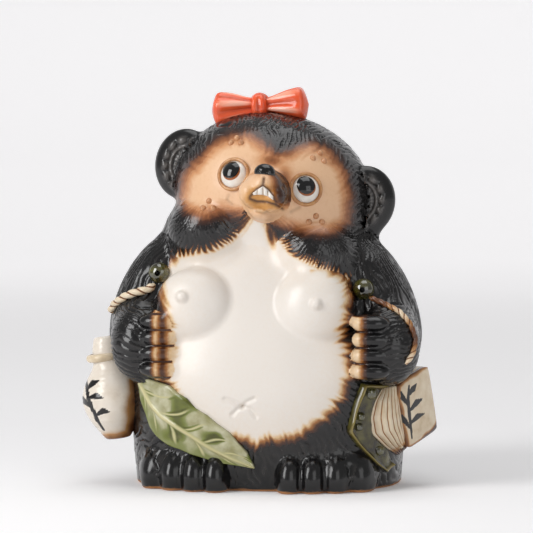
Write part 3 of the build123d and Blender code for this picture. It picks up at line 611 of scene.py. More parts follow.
# %% Jowls and fingers
JOWL_HEMS = {
    RIGHT: ((248, 226), (243, 235), (231, 246), (215, 254), (190, 258), (161, 263)),
    LEFT: ((277, 240), (281, 247), (288, 256), (301, 263), (317, 271), (339, 278), (352, 283)),
}
RIGHT_TIPS_X, RIGHT_SHADE_BAND_X = -63.5, -54
for side in SIDE_NAMES:
    # The jowls end in pale hair tips along their hems
    cheek = (lump_names == "cheek") & (skin[:, 0] * side > FACE_ASIDE * side)
    from_hem = np.full(len(skin), np.inf)
    for start, run, _, away in runs_of(JOWL_HEMS[side], picture):
        to_place = picture - start
        above = side * (run[1] * to_place[:, 0] - run[0] * to_place[:, 1]) > 0
        from_hem = np.where(away < np.abs(from_hem), np.where(above, away, -away), from_hem)
    pale = cheek & (facing > -0.2)
    strand = 0.5 * (ridge - 0.55) + 0.3 * strand_shade
    tip = np.clip(0.13 + from_hem / 16 + 1.1 * strand * step_up(from_hem, 0, 5), 0.1, 1)
    burn[pale] = np.minimum(burn[pale], tip[pale])
    face[pale] *= step_up(from_hem[pale], 6, 18)

    finger = (lump_names == "finger") & (skin[:, 0] * side > 0)
    if side == LEFT:
        inward = KNUCKLE_APART - side * (skin[:, 0] - FINGERS_ASIDE)
        tip = np.clip((inward + side) / 8.5, 0, 1)
    else:
        # The right hand's tips are tan further out, with a band of painted shade where they meet the belly
        belly_shade_band = np.exp(-(((skin[:, 0] - RIGHT_SHADE_BAND_X) / 3.2) ** 2))
        tip = np.clip((skin[:, 0] - RIGHT_TIPS_X) / 5, 0, 1) * (1 - 0.5 * belly_shade_band)
    # Painted shade darkens the creases between the fingers
    from_gap = FINGER_PITCH * np.abs((skin[:, 2] - LOWEST_FINGER) / FINGER_PITCH % 1 - 0.5)
    burn[finger] = np.maximum(1 - 0.72 * tip, 0.75 * np.exp(-((from_gap / 1.1) ** 2)))[finger]
    print(SIDE_NAMES[side], "jowl's pale hem:", int((pale & (burn < 0.5)).sum()), "vertices")

# %% Snout, cheeks and foot rim
# Middles and sizes of soft spots in the picture: the lips' ochre, and painted shade beside the snout and
# between the brows. Then where the snout's painted shade begins and ends
LIPS, LIPS_SIZE = (265, 198), (24, 15)
BESIDE_SNOUT, BESIDE_SIZE = (284, 180), (8, 15)
BETWEEN_BROWS, BETWEEN_SIZE = (272, 160), (13, 8)
SHADE_ACROSS, SHADE_DOWN = (267, 281), (199, 213)
NOSE_FOOT, BRIDGE_FOOT = 185, 180
THROAT_CREASE_X, THROAT_CREASE_Y, CREASE_DARKEST, CREASE_SIZE = 270, 232, 234, (4.5, 15)
snout = np.isin(lump_names, ["muzzle", "jaw"])
face[snout] = 1
from_lips = np.linalg.norm((picture - LIPS) / LIPS_SIZE, axis=1)
ochre[snout] = (1 - step_up(from_lips, 0.6, 1.2))[snout]
# The snout's right side in the picture is brown spray darkened with painted shade, and the bridge between the
# eyes is painted shade
snout_side_spray_and_shade = step_up(picture[:, 0] - 0.25 * (picture[:, 1] - NOSE_FOOT), *SHADE_ACROSS)
snout_side_spray_and_shade *= 1 - step_up(picture[:, 1], *SHADE_DOWN)
bridge_shade = step_up(BRIDGE_FOOT - picture[:, 1], 0, 14)
shade = np.clip(0.17 * ochre + 0.66 * snout_side_spray_and_shade + 0.4 * bridge_shade, 0, 0.74)
burn[snout] = shade[snout]
# Painted shade beside the snout and between the brows
spots = np.maximum(0.48 * smudge(BESIDE_SNOUT, BESIDE_SIZE), 0.5 * smudge(BETWEEN_BROWS, BETWEEN_SIZE))
burn[on_face] = np.maximum(burn, spots)[on_face]
# Painted shade darkens the crease beside the throat to brown, in the shadow of the left jowl
from_crease = picture[:, 0] - THROAT_CREASE_X - 0.2 * (picture[:, 1] - THROAT_CREASE_Y)
from_darkest = picture[:, 1] - CREASE_DARKEST
crease_shade = np.exp(-((from_crease / CREASE_SIZE[0]) ** 2 + (from_darkest / CREASE_SIZE[1]) ** 2))
by_throat = np.isin(lump_names, ["head", "cheek", "torso"]) & (skin[:, 1] < 0)
burn[by_throat] = np.maximum(burn, 0.72 * crease_shade)[by_throat]
burn[lump_names == "jaw"] = 0.02
# The glaze is wiped off the lowest millimetre, so that it doesn't stick to the kiln shelf
bare = 1 - step_up(skin[:, 2] + 0.5 * cloudy(skin, 7, 9), 0.7, 1.6)
white_share, black_share = float((burn < 0.3).mean()), float((burn > 0.8).mean())
print("white:", round(white_share * 100), "percent; black:", round(black_share * 100))

# %% [markdown]
# ## Cutting the grooves
# Only the black fur is combed, so the depth of a groove follows the burn of the glaze. Nipples, the creases
# of the navel and the lines of the mouth are pressed by hand, so they are added as small bumps and cuts.

# %% Grooves
GROOVE_DEPTH = 1.3
COMBED = ["head", "cheek", "torso", "breast", "tail", "upper_arm", "fist", "instep"]
furry = np.isin(lump_names, COMBED) * step_up(burn, 0.55, 0.9) * step_up(skin[:, 2], 2, 5)
height = -GROOVE_DEPTH * comb * furry
# An ear has a row of thumb prints inside its rim, a ring inside them and hair in the dish
PRINT_HALF_PITCH, HAIR_HALF_PITCH = 3.4, 2.2
beading = np.abs(np.sin(across / PRINT_HALF_PITCH * np.pi / 2)) * np.exp(-(((from_dish - 0.86) / 0.13) ** 2))
hairs = np.abs(np.sin(across / HAIR_HALF_PITCH * np.pi / 2)) * step_up(0.62 - from_dish, 0, 0.2)
ring = np.exp(-(((from_dish - 0.66) / 0.06) ** 2))
height += (1.6 * beading + 1.2 * ring + 1.0 * hairs) * (facing > 0)
print("deepest groove:", round(float(-height.min()), 2), "mm")

# %% Creases
NIPPLES = ((182, 297), (316, 304))
NAVEL_MIDDLE = (242, 407)
NAVEL = (
    ((225, 399), (234, 402), (241, 407)), ((254, 399), (247, 402), NAVEL_MIDDLE),
    ((232, 415), (237, 410), NAVEL_MIDDLE), (NAVEL_MIDDLE, (250, 409), (256, 417)),
)
MOUTH = (
    ((264, 178), (263, 185)),
    ((250, 197), (256, 190), (263, 185), (269, 190), (277, 203)),
    ((250, 199), (257, 202), (266, 202), (276, 205), (283, 209)),
)
DIMPLES = (
    ((229, 195), (227, 200), (232, 204)), ((291, 212), (296, 209), (300, 207)),
    ((256, 211), (263, 213), (270, 211)),
)
# In millimetres on the clay, and radii in pixels
NIPPLE_HIGH, NAVEL_DEEP, MOUTH_DEEP, DIMPLE_DEEP = 3.0, 1.1, 0.7, 0.5
NIPPLE_RADIUS, NAVEL_RADIUS, MOUTH_RADIUS, DIMPLE_RADIUS = 5.2, 2.0, 1.5, 1.3


def crease(points, width):
    """How near each vertex is to a line of picture points, from 1 on the line to 0 away from it."""
    nearest = np.minimum.reduce([away for *_, away in runs_of(points, picture)])
    return np.exp(-((nearest / width) ** 2)) * (facing > 0.2)


for spot in NIPPLES:
    from_spot = np.linalg.norm(picture - np.array(spot), axis=1)
    height += NIPPLE_HIGH * np.exp(-((from_spot / NIPPLE_RADIUS) ** 4)) * front_body * (facing > 0)
for points in NAVEL:
    height -= NAVEL_DEEP * crease(points, NAVEL_RADIUS) * front_body
line = np.zeros(len(skin))
for points in MOUTH:
    mark = crease(points, MOUTH_RADIUS) * snout
    height -= MOUTH_DEEP * mark
    line = np.maximum(line, mark)
for points in DIMPLES:
    mark = crease(points, DIMPLE_RADIUS) * np.isin(lump_names, ["head", "muzzle", "jaw", "cheek"])
    height -= DIMPLE_DEEP * mark
    line = np.maximum(line, 0.25 * mark)

skin = skin + height[:, None] * normals
normals = normals_of(skin, quads)
print("highest bump:", round(float(height.max()), 2), "mm")

# %% [markdown]
# ## Nodes and colours
# Glazes are written as the hex colours that a picture editor shows. Blender mixes light in linear values, so
# one function turns hex into linear. One more function adds a shader node with its settings and its wires.

# %% Shader helpers


def glaze_colour(code):
    """An sRGB hex colour as linear red, green, blue and alpha."""
    parts = [int(code[i:i + 2], 16) / 255 for i in (1, 3, 5)]
    return tuple(p / 12.92 if p <= 0.04045 else ((p + 0.055) / 1.055) ** 2.4 for p in parts) + (1.0,)


def put(material, kind, wires=None, stops=None, **settings):
    """Add a node to a material, with its settings, the values or wires of its sockets, and a ramp's stops."""
    node = material.node_tree.nodes.new(kind)
    for key, value in settings.items():
        setattr(node, key, value)
    for key, value in (wires or {}).items():
        if isinstance(value, bpy.types.NodeSocket):
            material.node_tree.links.new(value, node.inputs[key])
        else:
            node.inputs[key].default_value = value
    for index, (place, code) in enumerate(stops or []):
        marks = node.color_ramp.elements
        mark = marks[index] if index < 2 else marks.new(place)
        mark.position = place
        mark.color = glaze_colour(code)
    return node


def new_material(name):
    """A node material with no nodes yet."""
    material = bpy.data.materials.new(name)
    material.use_nodes = True
    material.node_tree.nodes.clear()
    return material


print("white glaze in linear light:", [round(c, 3) for c in glaze_colour("#F3ECE4")[:3]])

# %% [markdown]
# ## The skin's glazes
# The stoneware carries a feldspar glaze that is white on the belly, and an iron glaze sprayed over it that
# burns to brown where thin and black where thick. The face has a peach slip under it and the snout an ochre
# one. To a viewer the white has a soft gloss and the black a sharper one, both with fine pitting.

# %% Sprayed glaze
sprayed = new_material("sprayed_stoneware_glaze")
read = {
    key: put(sprayed, "ShaderNodeAttribute", attribute_name=key).outputs["Fac"]
    for key in ("burn", "face", "ochre", "bare", "line", "comb", "crest")
}
where = put(sprayed, "ShaderNodeTexCoord").outputs["Object"]
# Specks of spray about 2 mm across break up the burn
specks = put(sprayed, "ShaderNodeTexNoise", {"Vector": where, "Scale": 1 / (2 * MM), "Detail": 4.0})
spray = put(sprayed, "ShaderNodeMath", {0: specks.outputs["Fac"], 1: 0.5}, operation="SUBTRACT")
spatter = put(sprayed, "ShaderNodeMath", {0: spray.outputs[0], 1: 0.16, 2: read["burn"]},
              operation="MULTIPLY_ADD")
belly_glaze = put(sprayed, "ShaderNodeValToRGB", {"Fac": spatter.outputs[0]}, [
    (0.0, "#E6DFD7"), (1.0, "#0D0C0D"), (0.16, "#E4D8CA"), (0.32, "#D9B98D"), (0.46, "#9F6836"),
    (0.62, "#4C2A17"), (0.8, "#1C1718"),
])
face_slip = put(sprayed, "ShaderNodeValToRGB", {"Fac": spatter.outputs[0]}, [
    (0.0, "#E4BB95"), (1.0, "#121113"), (0.25, "#C98F62"), (0.45, "#935B37"), (0.65, "#43261A"),
    (0.85, "#1B1516"),
])
ochre_slip = put(sprayed, "ShaderNodeValToRGB", {"Fac": spatter.outputs[0]}, [
    (0.0, "#EACB9C"), (1.0, "#1F1512"), (0.13, "#CF954F"), (0.35, "#94581F"), (0.6, "#4A2713"),
    (0.85, "#2A1710"),
])
print("sprayed glaze reads", len(read), "painted values")

# %% Sprayed glaze: clay, lines and gloss
# The grooves are darker: the comb leaves the glaze thick there, and painted shade darkens them
pooled_glaze_and_shade = put(sprayed, "ShaderNodeMath", {0: read["comb"], 1: 0.55}, operation="MULTIPLY")
# The crests are lightened to grey, a painted sheen on the ridges of the fur and the ears
painted_crest_sheen = put(sprayed, "ShaderNodeMath", {0: read["crest"], 1: 0.08}, operation="MULTIPLY", use_clamp=True)
coat = belly_glaze.outputs["Color"]
for amount, over in (
    (read["face"], face_slip.outputs["Color"]),
    (read["ochre"], ochre_slip.outputs["Color"]),
    (read["line"], glaze_colour("#4A2812")),
    (pooled_glaze_and_shade.outputs[0], glaze_colour("#0E0D0E")),
    (painted_crest_sheen.outputs[0], glaze_colour("#7C7672")),
    (read["bare"], glaze_colour("#B47C4C")),
):
    coat = put(sprayed, "ShaderNodeMix", {0: amount, 6: coat, 7: over}, data_type="RGBA").outputs[2]
gloss = put(sprayed, "ShaderNodeMapRange", {0: read["burn"], 1: 0.2, 2: 0.8, 3: 0.3, 4: 0.2})
dull_rim = put(sprayed, "ShaderNodeMapRange", {0: read["bare"], 1: 0.0, 2: 1.0, 3: gloss.outputs[0], 4: 0.8})
# Orange-peel pitting of the fired glaze, about 1.5 mm apart
pits = put(sprayed, "ShaderNodeTexNoise", {"Vector": where, "Scale": 1 / (1.5 * MM), "Detail": 2.0})
peel = put(sprayed, "ShaderNodeBump", {"Strength": 0.12, "Distance": 0.1 * MM, "Height": pits.outputs["Fac"]})
glazed = put(sprayed, "ShaderNodeBsdfPrincipled", {
    "Base Color": coat, "Roughness": dull_rim.outputs[0], "IOR": 1.52, "Normal": peel.outputs["Normal"],
})
put(sprayed, "ShaderNodeOutputMaterial", {"Surface": glazed.outputs[0]})
print("sprayed glaze nodes:", len(sprayed.node_tree.nodes))

# %% [markdown]
# ## Parting the skin into its pieces
# On the real figure each limb is a piece of its own. The skin is parted where one lump gives way to the
# next, and each piece is closed with a hidden cap inside the clay. The normals of the whole skin are kept,
# so the glaze runs over the luted joints with no visible seam.


def make_piece(name, node, vertices, rings, material, paint=None, normals=None):
    """Put a mesh of vertices in millimetres and rings of corners on the figure in place of a solid."""
    mesh = bpy.data.meshes.new(name)
    mesh.vertices.add(len(vertices))
    mesh.vertices.foreach_set("co", (np.asarray(vertices) * MM).astype(np.float32).ravel())
    corners = np.concatenate([np.asarray(ring).ravel() for ring in rings]).astype(np.int32)
    sizes = np.concatenate([np.full(len(ring), np.asarray(ring).shape[1]) for ring in rings])
    mesh.loops.add(len(corners))
    mesh.loops.foreach_set("vertex_index", corners)
    mesh.polygons.add(len(sizes))
    starts = np.concatenate([[0], np.cumsum(sizes)[:-1]])
    mesh.polygons.foreach_set("loop_start", starts.astype(np.int32))
    mesh.update(calc_edges=True)
    mesh.shade_smooth()
    for key, values in (paint or {}).items():
        painted = mesh.attributes.new(key, "FLOAT", "POINT")
        painted.data.foreach_set("value", np.asarray(values, np.float32))
    if normals is not None:
        mesh.normals_split_custom_set_from_vertices(normals.tolist())
    mesh.materials.append(material)
    piece = bpy.data.objects.new(name, mesh)
    bpy.context.scene.collection.objects.link(piece)
    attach(piece, "root")
    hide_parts(node)


# %% Pieces of the skin
CAP_DEPTH = 4


def loops_of(open_edges, count):
    """For each open edge, the number of the loop of edges that it belongs to."""
    loop = np.arange(count)
    settled = False
    while not settled:
        lower = np.minimum(loop[open_edges[:, 0]], loop[open_edges[:, 1]])
        settled = (loop[open_edges] == lower[:, None]).all()
        np.minimum.at(loop, open_edges.ravel(), np.repeat(lower, 2))
    return np.unique(loop[open_edges[:, 0]], return_inverse=True)[1]


piece_of = np.array([lump["piece"] for lump in lumps])[owner]
in_front = skin[:, 1] < 0
piece_of = np.where(piece_of == "body", np.where(in_front, "body_front", "body_back"), piece_of)
piece_of = np.where(piece_of == "head", np.where(in_front, "face_shell", "head_back"), piece_of)
# The ridges of the fur and the ears' prints, ring and hairs get a painted sheen
ear_painted_sheen = 9 * (0.8 * beading + ring + hairs) * (facing > 0)
crest = np.maximum(furry * ridge**3 * bitten * depth_of_stroke, ear_painted_sheen)
coats = {
    "burn": burn, "face": face, "ochre": ochre, "bare": bare, "line": line, "comb": comb * furry,
    "crest": crest,
}
inside_clay = skin - CAP_DEPTH * normals
for node in sorted(set(piece_of)):
    own = quads[piece_of[quads[:, 0]] == node]
    used, local = np.unique(own, return_inverse=True)
    local = local.reshape(own.shape)
    edges = np.stack([local, np.roll(local, -1, 1)], 2).reshape(-1, 2)
    keys = edges[:, 0] * len(used) + edges[:, 1]
    open_edges = edges[~np.isin(keys, edges[:, 1] * len(used) + edges[:, 0])]
    hub_of = loops_of(open_edges, len(used))
    rim = inside_clay[used][open_edges[:, 0]]
    hubs = np.stack([np.bincount(hub_of, rim[:, i]) for i in range(3)], 1) / np.bincount(hub_of)[:, None]
    cap = np.stack([open_edges[:, 1], open_edges[:, 0], len(used) + hub_of], 1)
    make_piece(
        f"{node}_skin", node, np.vstack([skin[used], hubs]), [local, cap], sprayed,
        {key: np.append(values[used], np.ones(len(hubs))) for key, values in coats.items()},
        np.vstack([normals[used], np.tile([0, 0, 1], (len(hubs), 1))]),
    )
    print(node, "skin:", len(used), "vertices,", len(hubs), "caps")

# %% [markdown]
# ## Finding places on the clay
# Ornaments are pressed onto the skin where the picture shows them. A ray goes from the lens through a pixel
# and steps forward by the distance to the clay until it arrives. Sheets and tubes of clay are then built on
# such places as closed meshes: a slab between two grids, or a tube through rings.

# %% Places on the clay
RAY_STEPS = 80
CLEAR_OF_FIGURE = 170


def unit(vectors):
    """Vectors of length one."""
    return vectors / np.linalg.norm(vectors, axis=-1, keepdims=True)


def on_clay(pixels, distance_of):
    """Places on a skin that show at a line or grid of pixels, and the skin's outward normals there."""
    pixels = np.asarray(pixels, float)
    aside = (pixels.reshape(-1, 2) - TARGET_PIXEL) * MM_PER_PIXEL
    eye = TARGET + DISTANCE * TOWARDS_CAMERA
    ray = unit(TARGET + aside[:, :1] * RIGHTWARD - aside[:, 1:] * UPWARD - eye)
    far = np.full(len(aside), DISTANCE - CLEAR_OF_FIGURE)
    for _ in range(RAY_STEPS):
        far += 0.6 * np.clip(distance_of(eye + far[:, None] * ray), -4, 12)
    places = eye + far[:, None] * ray
    steps = 0.6 * np.eye(3)
    slope = np.stack([distance_of(places + step) - distance_of(places - step) for step in steps], 1)
    grid = pixels.shape[:-1] + (3,)
    return places.reshape(grid), unit(slope).reshape(grid)


def length_along(points):
    """How far along a line each of its points lies."""
    return np.concatenate([[0], np.cumsum(np.linalg.norm(np.diff(points, axis=0), axis=1))])


def rounded(places, passes):
    """A line of places with its corners rounded and its ends kept."""
    for _ in range(passes):
        places[1:-1] = (places[:-2] + 2 * places[1:-1] + places[2:]) / 4
    return places


def smooth_line(points, count, passes=8):
    """A line of evenly spaced places through points, with its corners rounded."""
    points = np.asarray(points, float)
    run = length_along(points)
    steps = np.linspace(0, run[-1], count)
    return rounded(np.stack([np.interp(steps, run, column) for column in points.T], 1), passes)


print("a ray to the navel lands on", np.round(on_clay([NAVEL_MIDDLE], torso_distance)[0][0], 1))

# %% Slabs and tubes


def sheet_grid(rows, columns, first_row=0, first_column=0):
    """Two grids of numbers up to 1, one that grows from row to row and one from column to column."""
    return np.meshgrid(np.linspace(first_row, 1, rows), np.linspace(first_column, 1, columns), indexing="ij")


def turned_out(vertices, rings):
    """The same rings of corners, all turned over if the closed mesh is inside out."""
    volume = 0
    for ring in rings:
        for i in range(1, ring.shape[1] - 1):
            a, b, c = vertices[ring[:, 0]], vertices[ring[:, i]], vertices[ring[:, i + 1]]
            volume += (a * np.cross(b, c)).sum()
    return rings if volume > 0 else [ring[:, ::-1] for ring in rings]


def slab(outer, inner):
    """Vertices and rings of a closed slab between an outer and an inner grid of places."""
    rows, columns = outer.shape[:2]
    number = np.arange(rows * columns).reshape(rows, columns)
    sheet = np.stack([number[:-1, :-1], number[1:, :-1], number[1:, 1:], number[:-1, 1:]], -1).reshape(-1, 4)
    rim = np.concatenate([number[:, 0], number[-1, 1:], number[::-1, -1][1:], number[0, ::-1][1:-1]])
    after = np.roll(rim, -1)
    total = rows * columns
    edge = np.stack([after, rim, rim + total, after + total], 1)
    vertices = np.concatenate([outer.reshape(-1, 3), inner.reshape(-1, 3)])
    return vertices, turned_out(vertices, [np.concatenate([sheet, sheet[:, ::-1] + total, edge])])


def tube(rings):
    """Vertices and rings of a closed tube through rings of places."""
    rows, columns = rings.shape[:2]
    number = np.arange(rows * columns).reshape(rows, columns)
    after = np.roll(number, -1, 1)
    side = np.stack([number[:-1], after[:-1], after[1:], number[1:]], -1).reshape(-1, 4)
    hub = np.full(columns, rows * columns)
    first_end = np.stack([after[0], number[0], hub], 1)
    last_end = np.stack([number[-1], after[-1], hub + 1], 1)
    vertices = np.concatenate([rings.reshape(-1, 3), rings[0].mean(0)[None], rings[-1].mean(0)[None]])
    return vertices, turned_out(vertices, [side, np.concatenate([first_end, last_end])])


flat, raised = np.zeros((2, 2, 3)), np.ones((2, 2, 3))
print("a slab on four places has", len(slab(raised, flat)[0]), "vertices")

# %% Paint, joins and domes


def tube_paint(values):
    """Painted values for a tube: those of its rings, and none at the middles of its two ends."""
    return np.append(values.ravel(), [0, 0])


def slab_paint(values):
    """Painted values for a slab: the same on its outer and its inner grid."""
    return np.tile(values.ravel(), 2)


def joined(meshes):
    """Several meshes as one, with their vertices in one list."""
    vertices, rings = [], []
    for points, faces in meshes:
        rings += [ring + sum(map(len, vertices)) for ring in faces]
        vertices.append(points)
    return np.concatenate(vertices), rings


def domes(spots, high, distance_of, squareness):
    """Vertices and rings of domes on a skin at picture spots, each with its radius in millimetres."""
    meshes = []
    turn = np.linspace(0, 2 * math.pi, 49)[:-1]
    lift = np.linspace(0, 0.49 * math.pi, 17)[:, None]
    circle = np.stack([np.cos(turn), np.sin(turn)], 1)
    square = circle / (np.abs(circle) ** squareness).sum(1, keepdims=True) ** (1 / squareness)
    for spot, radius in spots:
        middle, outward = (part[0] for part in on_clay([spot], distance_of))
        aside = unit(np.cross([0, 0, 1], outward))
        around = square @ np.array([aside, np.cross(outward, aside)])
        rise = (high * np.sin(lift) - 0.6)[..., None] * outward
        meshes.append(tube(middle + radius * np.cos(lift)[..., None] ** (2 / squareness) * around + rise))
    return joined(meshes)


print("a dome has", len(domes([(NAVEL_MIDDLE, 1.0)], 1.0, torso_distance, 2.0)[0]), "vertices")

# %% [markdown]
# ## Glazes of the small pieces
# The eyes, teeth and flask have a white gloss glaze, the bow a red one, and the toggles a runny olive one.
# Each starts from the fired glaze's own colour, with a little unevenness at the size of a brush mark and a
# clear, hard gloss. A painted value on the mesh can draw a second glaze over it, such as brown in a groove.

# %% Brushed glazes


def brushed_glaze(name, thin, thick, roughness, mark_size, over=None, bend=1.52):
    """A gloss glaze between two colours, in marks of a size in millimetres, with painted glazes over it."""
    material = new_material(name)
    where = put(material, "ShaderNodeTexCoord").outputs["Object"]
    marks = put(material, "ShaderNodeTexNoise",
                {"Vector": where, "Scale": 1 / (mark_size * MM), "Detail": 3.0})
    tone = put(material, "ShaderNodeValToRGB", {"Fac": marks.outputs["Fac"]}, [(0.3, thin), (0.7, thick)])
    colour = tone.outputs["Color"]
    for key, stops in (over or {}).items():
        painted = put(material, "ShaderNodeAttribute", attribute_name=key).outputs["Fac"]
        grain = put(material, "ShaderNodeMath", {0: marks.outputs["Fac"], 1: 0.25, 2: painted},
                    operation="MULTIPLY_ADD")
        spread = put(material, "ShaderNodeMapRange", {0: grain.outputs[0], 1: 0.15, 2: 1.1})
        ramp = put(material, "ShaderNodeValToRGB", {"Fac": spread.outputs[0]}, stops)
        cover = put(material, "ShaderNodeMapRange", {0: spread.outputs[0], 1: 0.0, 2: 0.3})
        mixed = put(material, "ShaderNodeMix", {0: cover.outputs[0], 6: colour, 7: ramp.outputs["Color"]},
                    data_type="RGBA")
        colour = mixed.outputs[2]
    shader = put(material, "ShaderNodeBsdfPrincipled",
                 {"Base Color": colour, "Roughness": roughness, "IOR": bend})
    put(material, "ShaderNodeOutputMaterial", {"Surface": shader.outputs[0]})
    return material


print("glazes before the brushed ones:", len(bpy.data.materials))

# %% Glazes for each piece
BROWN_SPRAY = [(0.0, "#E2CDAF"), (1.0, "#1F1712"), (0.3, "#B98651"), (0.6, "#6E4122")]
BRUSH_INK = [(0.0, "#4A4643"), (1.0, "#171516")]
# Wet-looking white that catches the window as a sharp spark on the teeth
white_gloss = brushed_glaze("white_tin_glaze", "#EAE4DC", "#DFD6CB", 0.1, 6)
# Warm white with a softer shine, smoked brown by the spray, with grey-black brush ink on it
flask_glaze = brushed_glaze("flask_feldspar_glaze", "#E9E0D4", "#E0D4C4", 0.16, 10,
                            {"spray": BROWN_SPRAY, "ink": BRUSH_INK})
# Black that is seen mostly as the reflection of the room
black_gloss = brushed_glaze("black_mirror_glaze", "#060606", "#0C0A0B", 0.05, 5, bend=1.6)
# Tan that sets the white of the eye off from the brown face
eye_rim_glaze = brushed_glaze("tan_slip_glaze", "#C9955F", "#A36A3B", 0.22, 4)
# Peach a little lighter than the face, so that the pellets stand out
bead_glaze = brushed_glaze("peach_slip_glaze", "#CC9A70", "#B27A52", 0.25, 3)
# Bright orange-red, deeper in the folds, with a painted pink highlight on their crests
red_gloss = brushed_glaze("red_chrome_glaze", "#F0633A", "#E5512C", 0.09, 9, {
    "fold": [(0.0, "#EC653C"), (1.0, "#B03418")], "thin": [(0.0, "#F07E58"), (1.0, "#F8C6B2")],
})
# Milky grey-green with dark pools of copper green beside the veins, and pale veins
leaf_gloss = brushed_glaze("green_copper_glaze", "#BDBA9C", "#938F62", 0.14, 7, {
    "pool": [(0.0, "#8F9164"), (1.0, "#37330F"), (0.6, "#6A722E")],
    "vein": [(0.0, "#ADA97A"), (1.0, "#D6CC9C")],
})
# Cream like old paper, with brown in its scores and edges
cream_gloss = brushed_glaze("cream_ash_glaze", "#E4D5BC", "#D3BD9C", 0.2, 8,
                            {"spray": BROWN_SPRAY, "ink": BRUSH_INK})
# Dark olive glass that mirrors the window strongly
olive_gloss = brushed_glaze("olive_ash_glaze", "#55521A", "#100E08", 0.05, 5, bend=2.0)
# Runny green-brown that breaks to amber on the rim
pouch_gloss = brushed_glaze("runny_ash_glaze", "#5C5728", "#1A120A", 0.06, 7,
                            {"amber": [(0.0, "#3A3416"), (1.0, "#8A7A3C")]}, bend=1.6)
# Unglazed fired clay, dry and matt
clay_bare = brushed_glaze("bare_stoneware", "#B98557", "#A87347", 0.85, 3)
print("glazes:", len(bpy.data.materials))

# %% [markdown]
# ## Leaf
# The leaf is a pressed sheet of clay laid over the hip. Its rib bends, side veins run from it towards the
# tip, and the blade swells between them. A grid between the rib and the two edges, sent onto the torso by
# rays, follows the belly's curve by itself.

# %% Leaf
LEAF_RIB = [(141, 377), (146, 391), (153, 404), (163, 416), (181, 428), (213, 448), (233, 458), (255, 467)]
LEAF_UPPER = [(141, 377), (162, 381), (178, 390), (203, 412), (221, 424), (238, 440), (250, 455), (255, 467)]
LEAF_LOWER = [(141, 377), (142, 398), (150, 424), (158, 438), (175, 448), (213, 461), (233, 464), (255, 467)]
VEINS = 6
LEAF_THICK = 2.2
SUNK = 0.8
u, v = sheet_grid(121, 61, first_column=-1)
out = np.abs(v)
rib_line, upper_line, lower_line = (
    smooth_line(points, 121)[:, None] for points in (LEAF_RIB, LEAF_UPPER, LEAF_LOWER)
)
side_line = np.where(v[..., None] > 0, upper_line, lower_line)
vein_phase = (u - 0.2 * out**0.7) * VEINS + np.where(v > 0, 0.0, 0.4) + 0.12 * np.sin(9 * u + 4 * v)
vein_near = np.abs(vein_phase - np.floor(vein_phase) - 0.5)
scallop = 1 - 0.07 * out**6 * (1 - 2 * vein_near)
blade = (side_line - rib_line) * out[..., None] * scallop[..., None]
places, outward = on_clay(rib_line + blade, torso_distance)
half_width = np.linalg.norm(side_line - rib_line, axis=-1) * MM_PER_PIXEL
rib = np.exp(-((out * half_width / 1.1) ** 2)) * (1 - 0.6 * u)
vein = np.exp(-((vein_near / 0.05) ** 2)) * step_up(out, 0.02, 0.2) * (1 - step_up(out, 0.45, 0.9))
valley = 0.9 * (1 - vein_near * 2) * step_up(out, 0.05, 0.4) * (1 - out**4)
rise = (LEAF_THICK + 1.1 * rib + 0.35 * vein - valley + 0.9 * out**3) * (1 - 0.45 * out**14)
rise += 0.6 * cloudy(places, 14, 3)
vertices, rings = slab(places + rise[..., None] * outward, places - SUNK * outward)
beside_vein = np.exp(-(((vein_near - 0.1) / 0.07) ** 2)) * (1 - step_up(out, 0.5, 1.0))
pool = step_up(cloudy(places, 11, 4) + 0.35 * beside_vein, 0.1, 0.7)
pool = np.maximum(pool, 0.55 * step_up(-v, 0.1, 0.7) * (1 - vein_near))
pool = np.maximum(pool, 0.9 * step_up(-v, 0.86, 1.0)) * (1 - rib) * (1 - vein)
make_piece("laid_leaf", "leaf", vertices, rings, leaf_gloss, {
    "vein": slab_paint(np.maximum(0.85 * rib, 0.5 * vein)), "pool": slab_paint(0.85 * pool),
})
print("leaf:", len(vertices), "vertices")

# %% [markdown]
# ## Bow
# The bow is two flat loops of clay ribbon and a knot. A loop is a tube that flares from the knot. Folds are
# pinched in at the knot and fade outwards, so the tube's wall is pushed in and out round its girth.

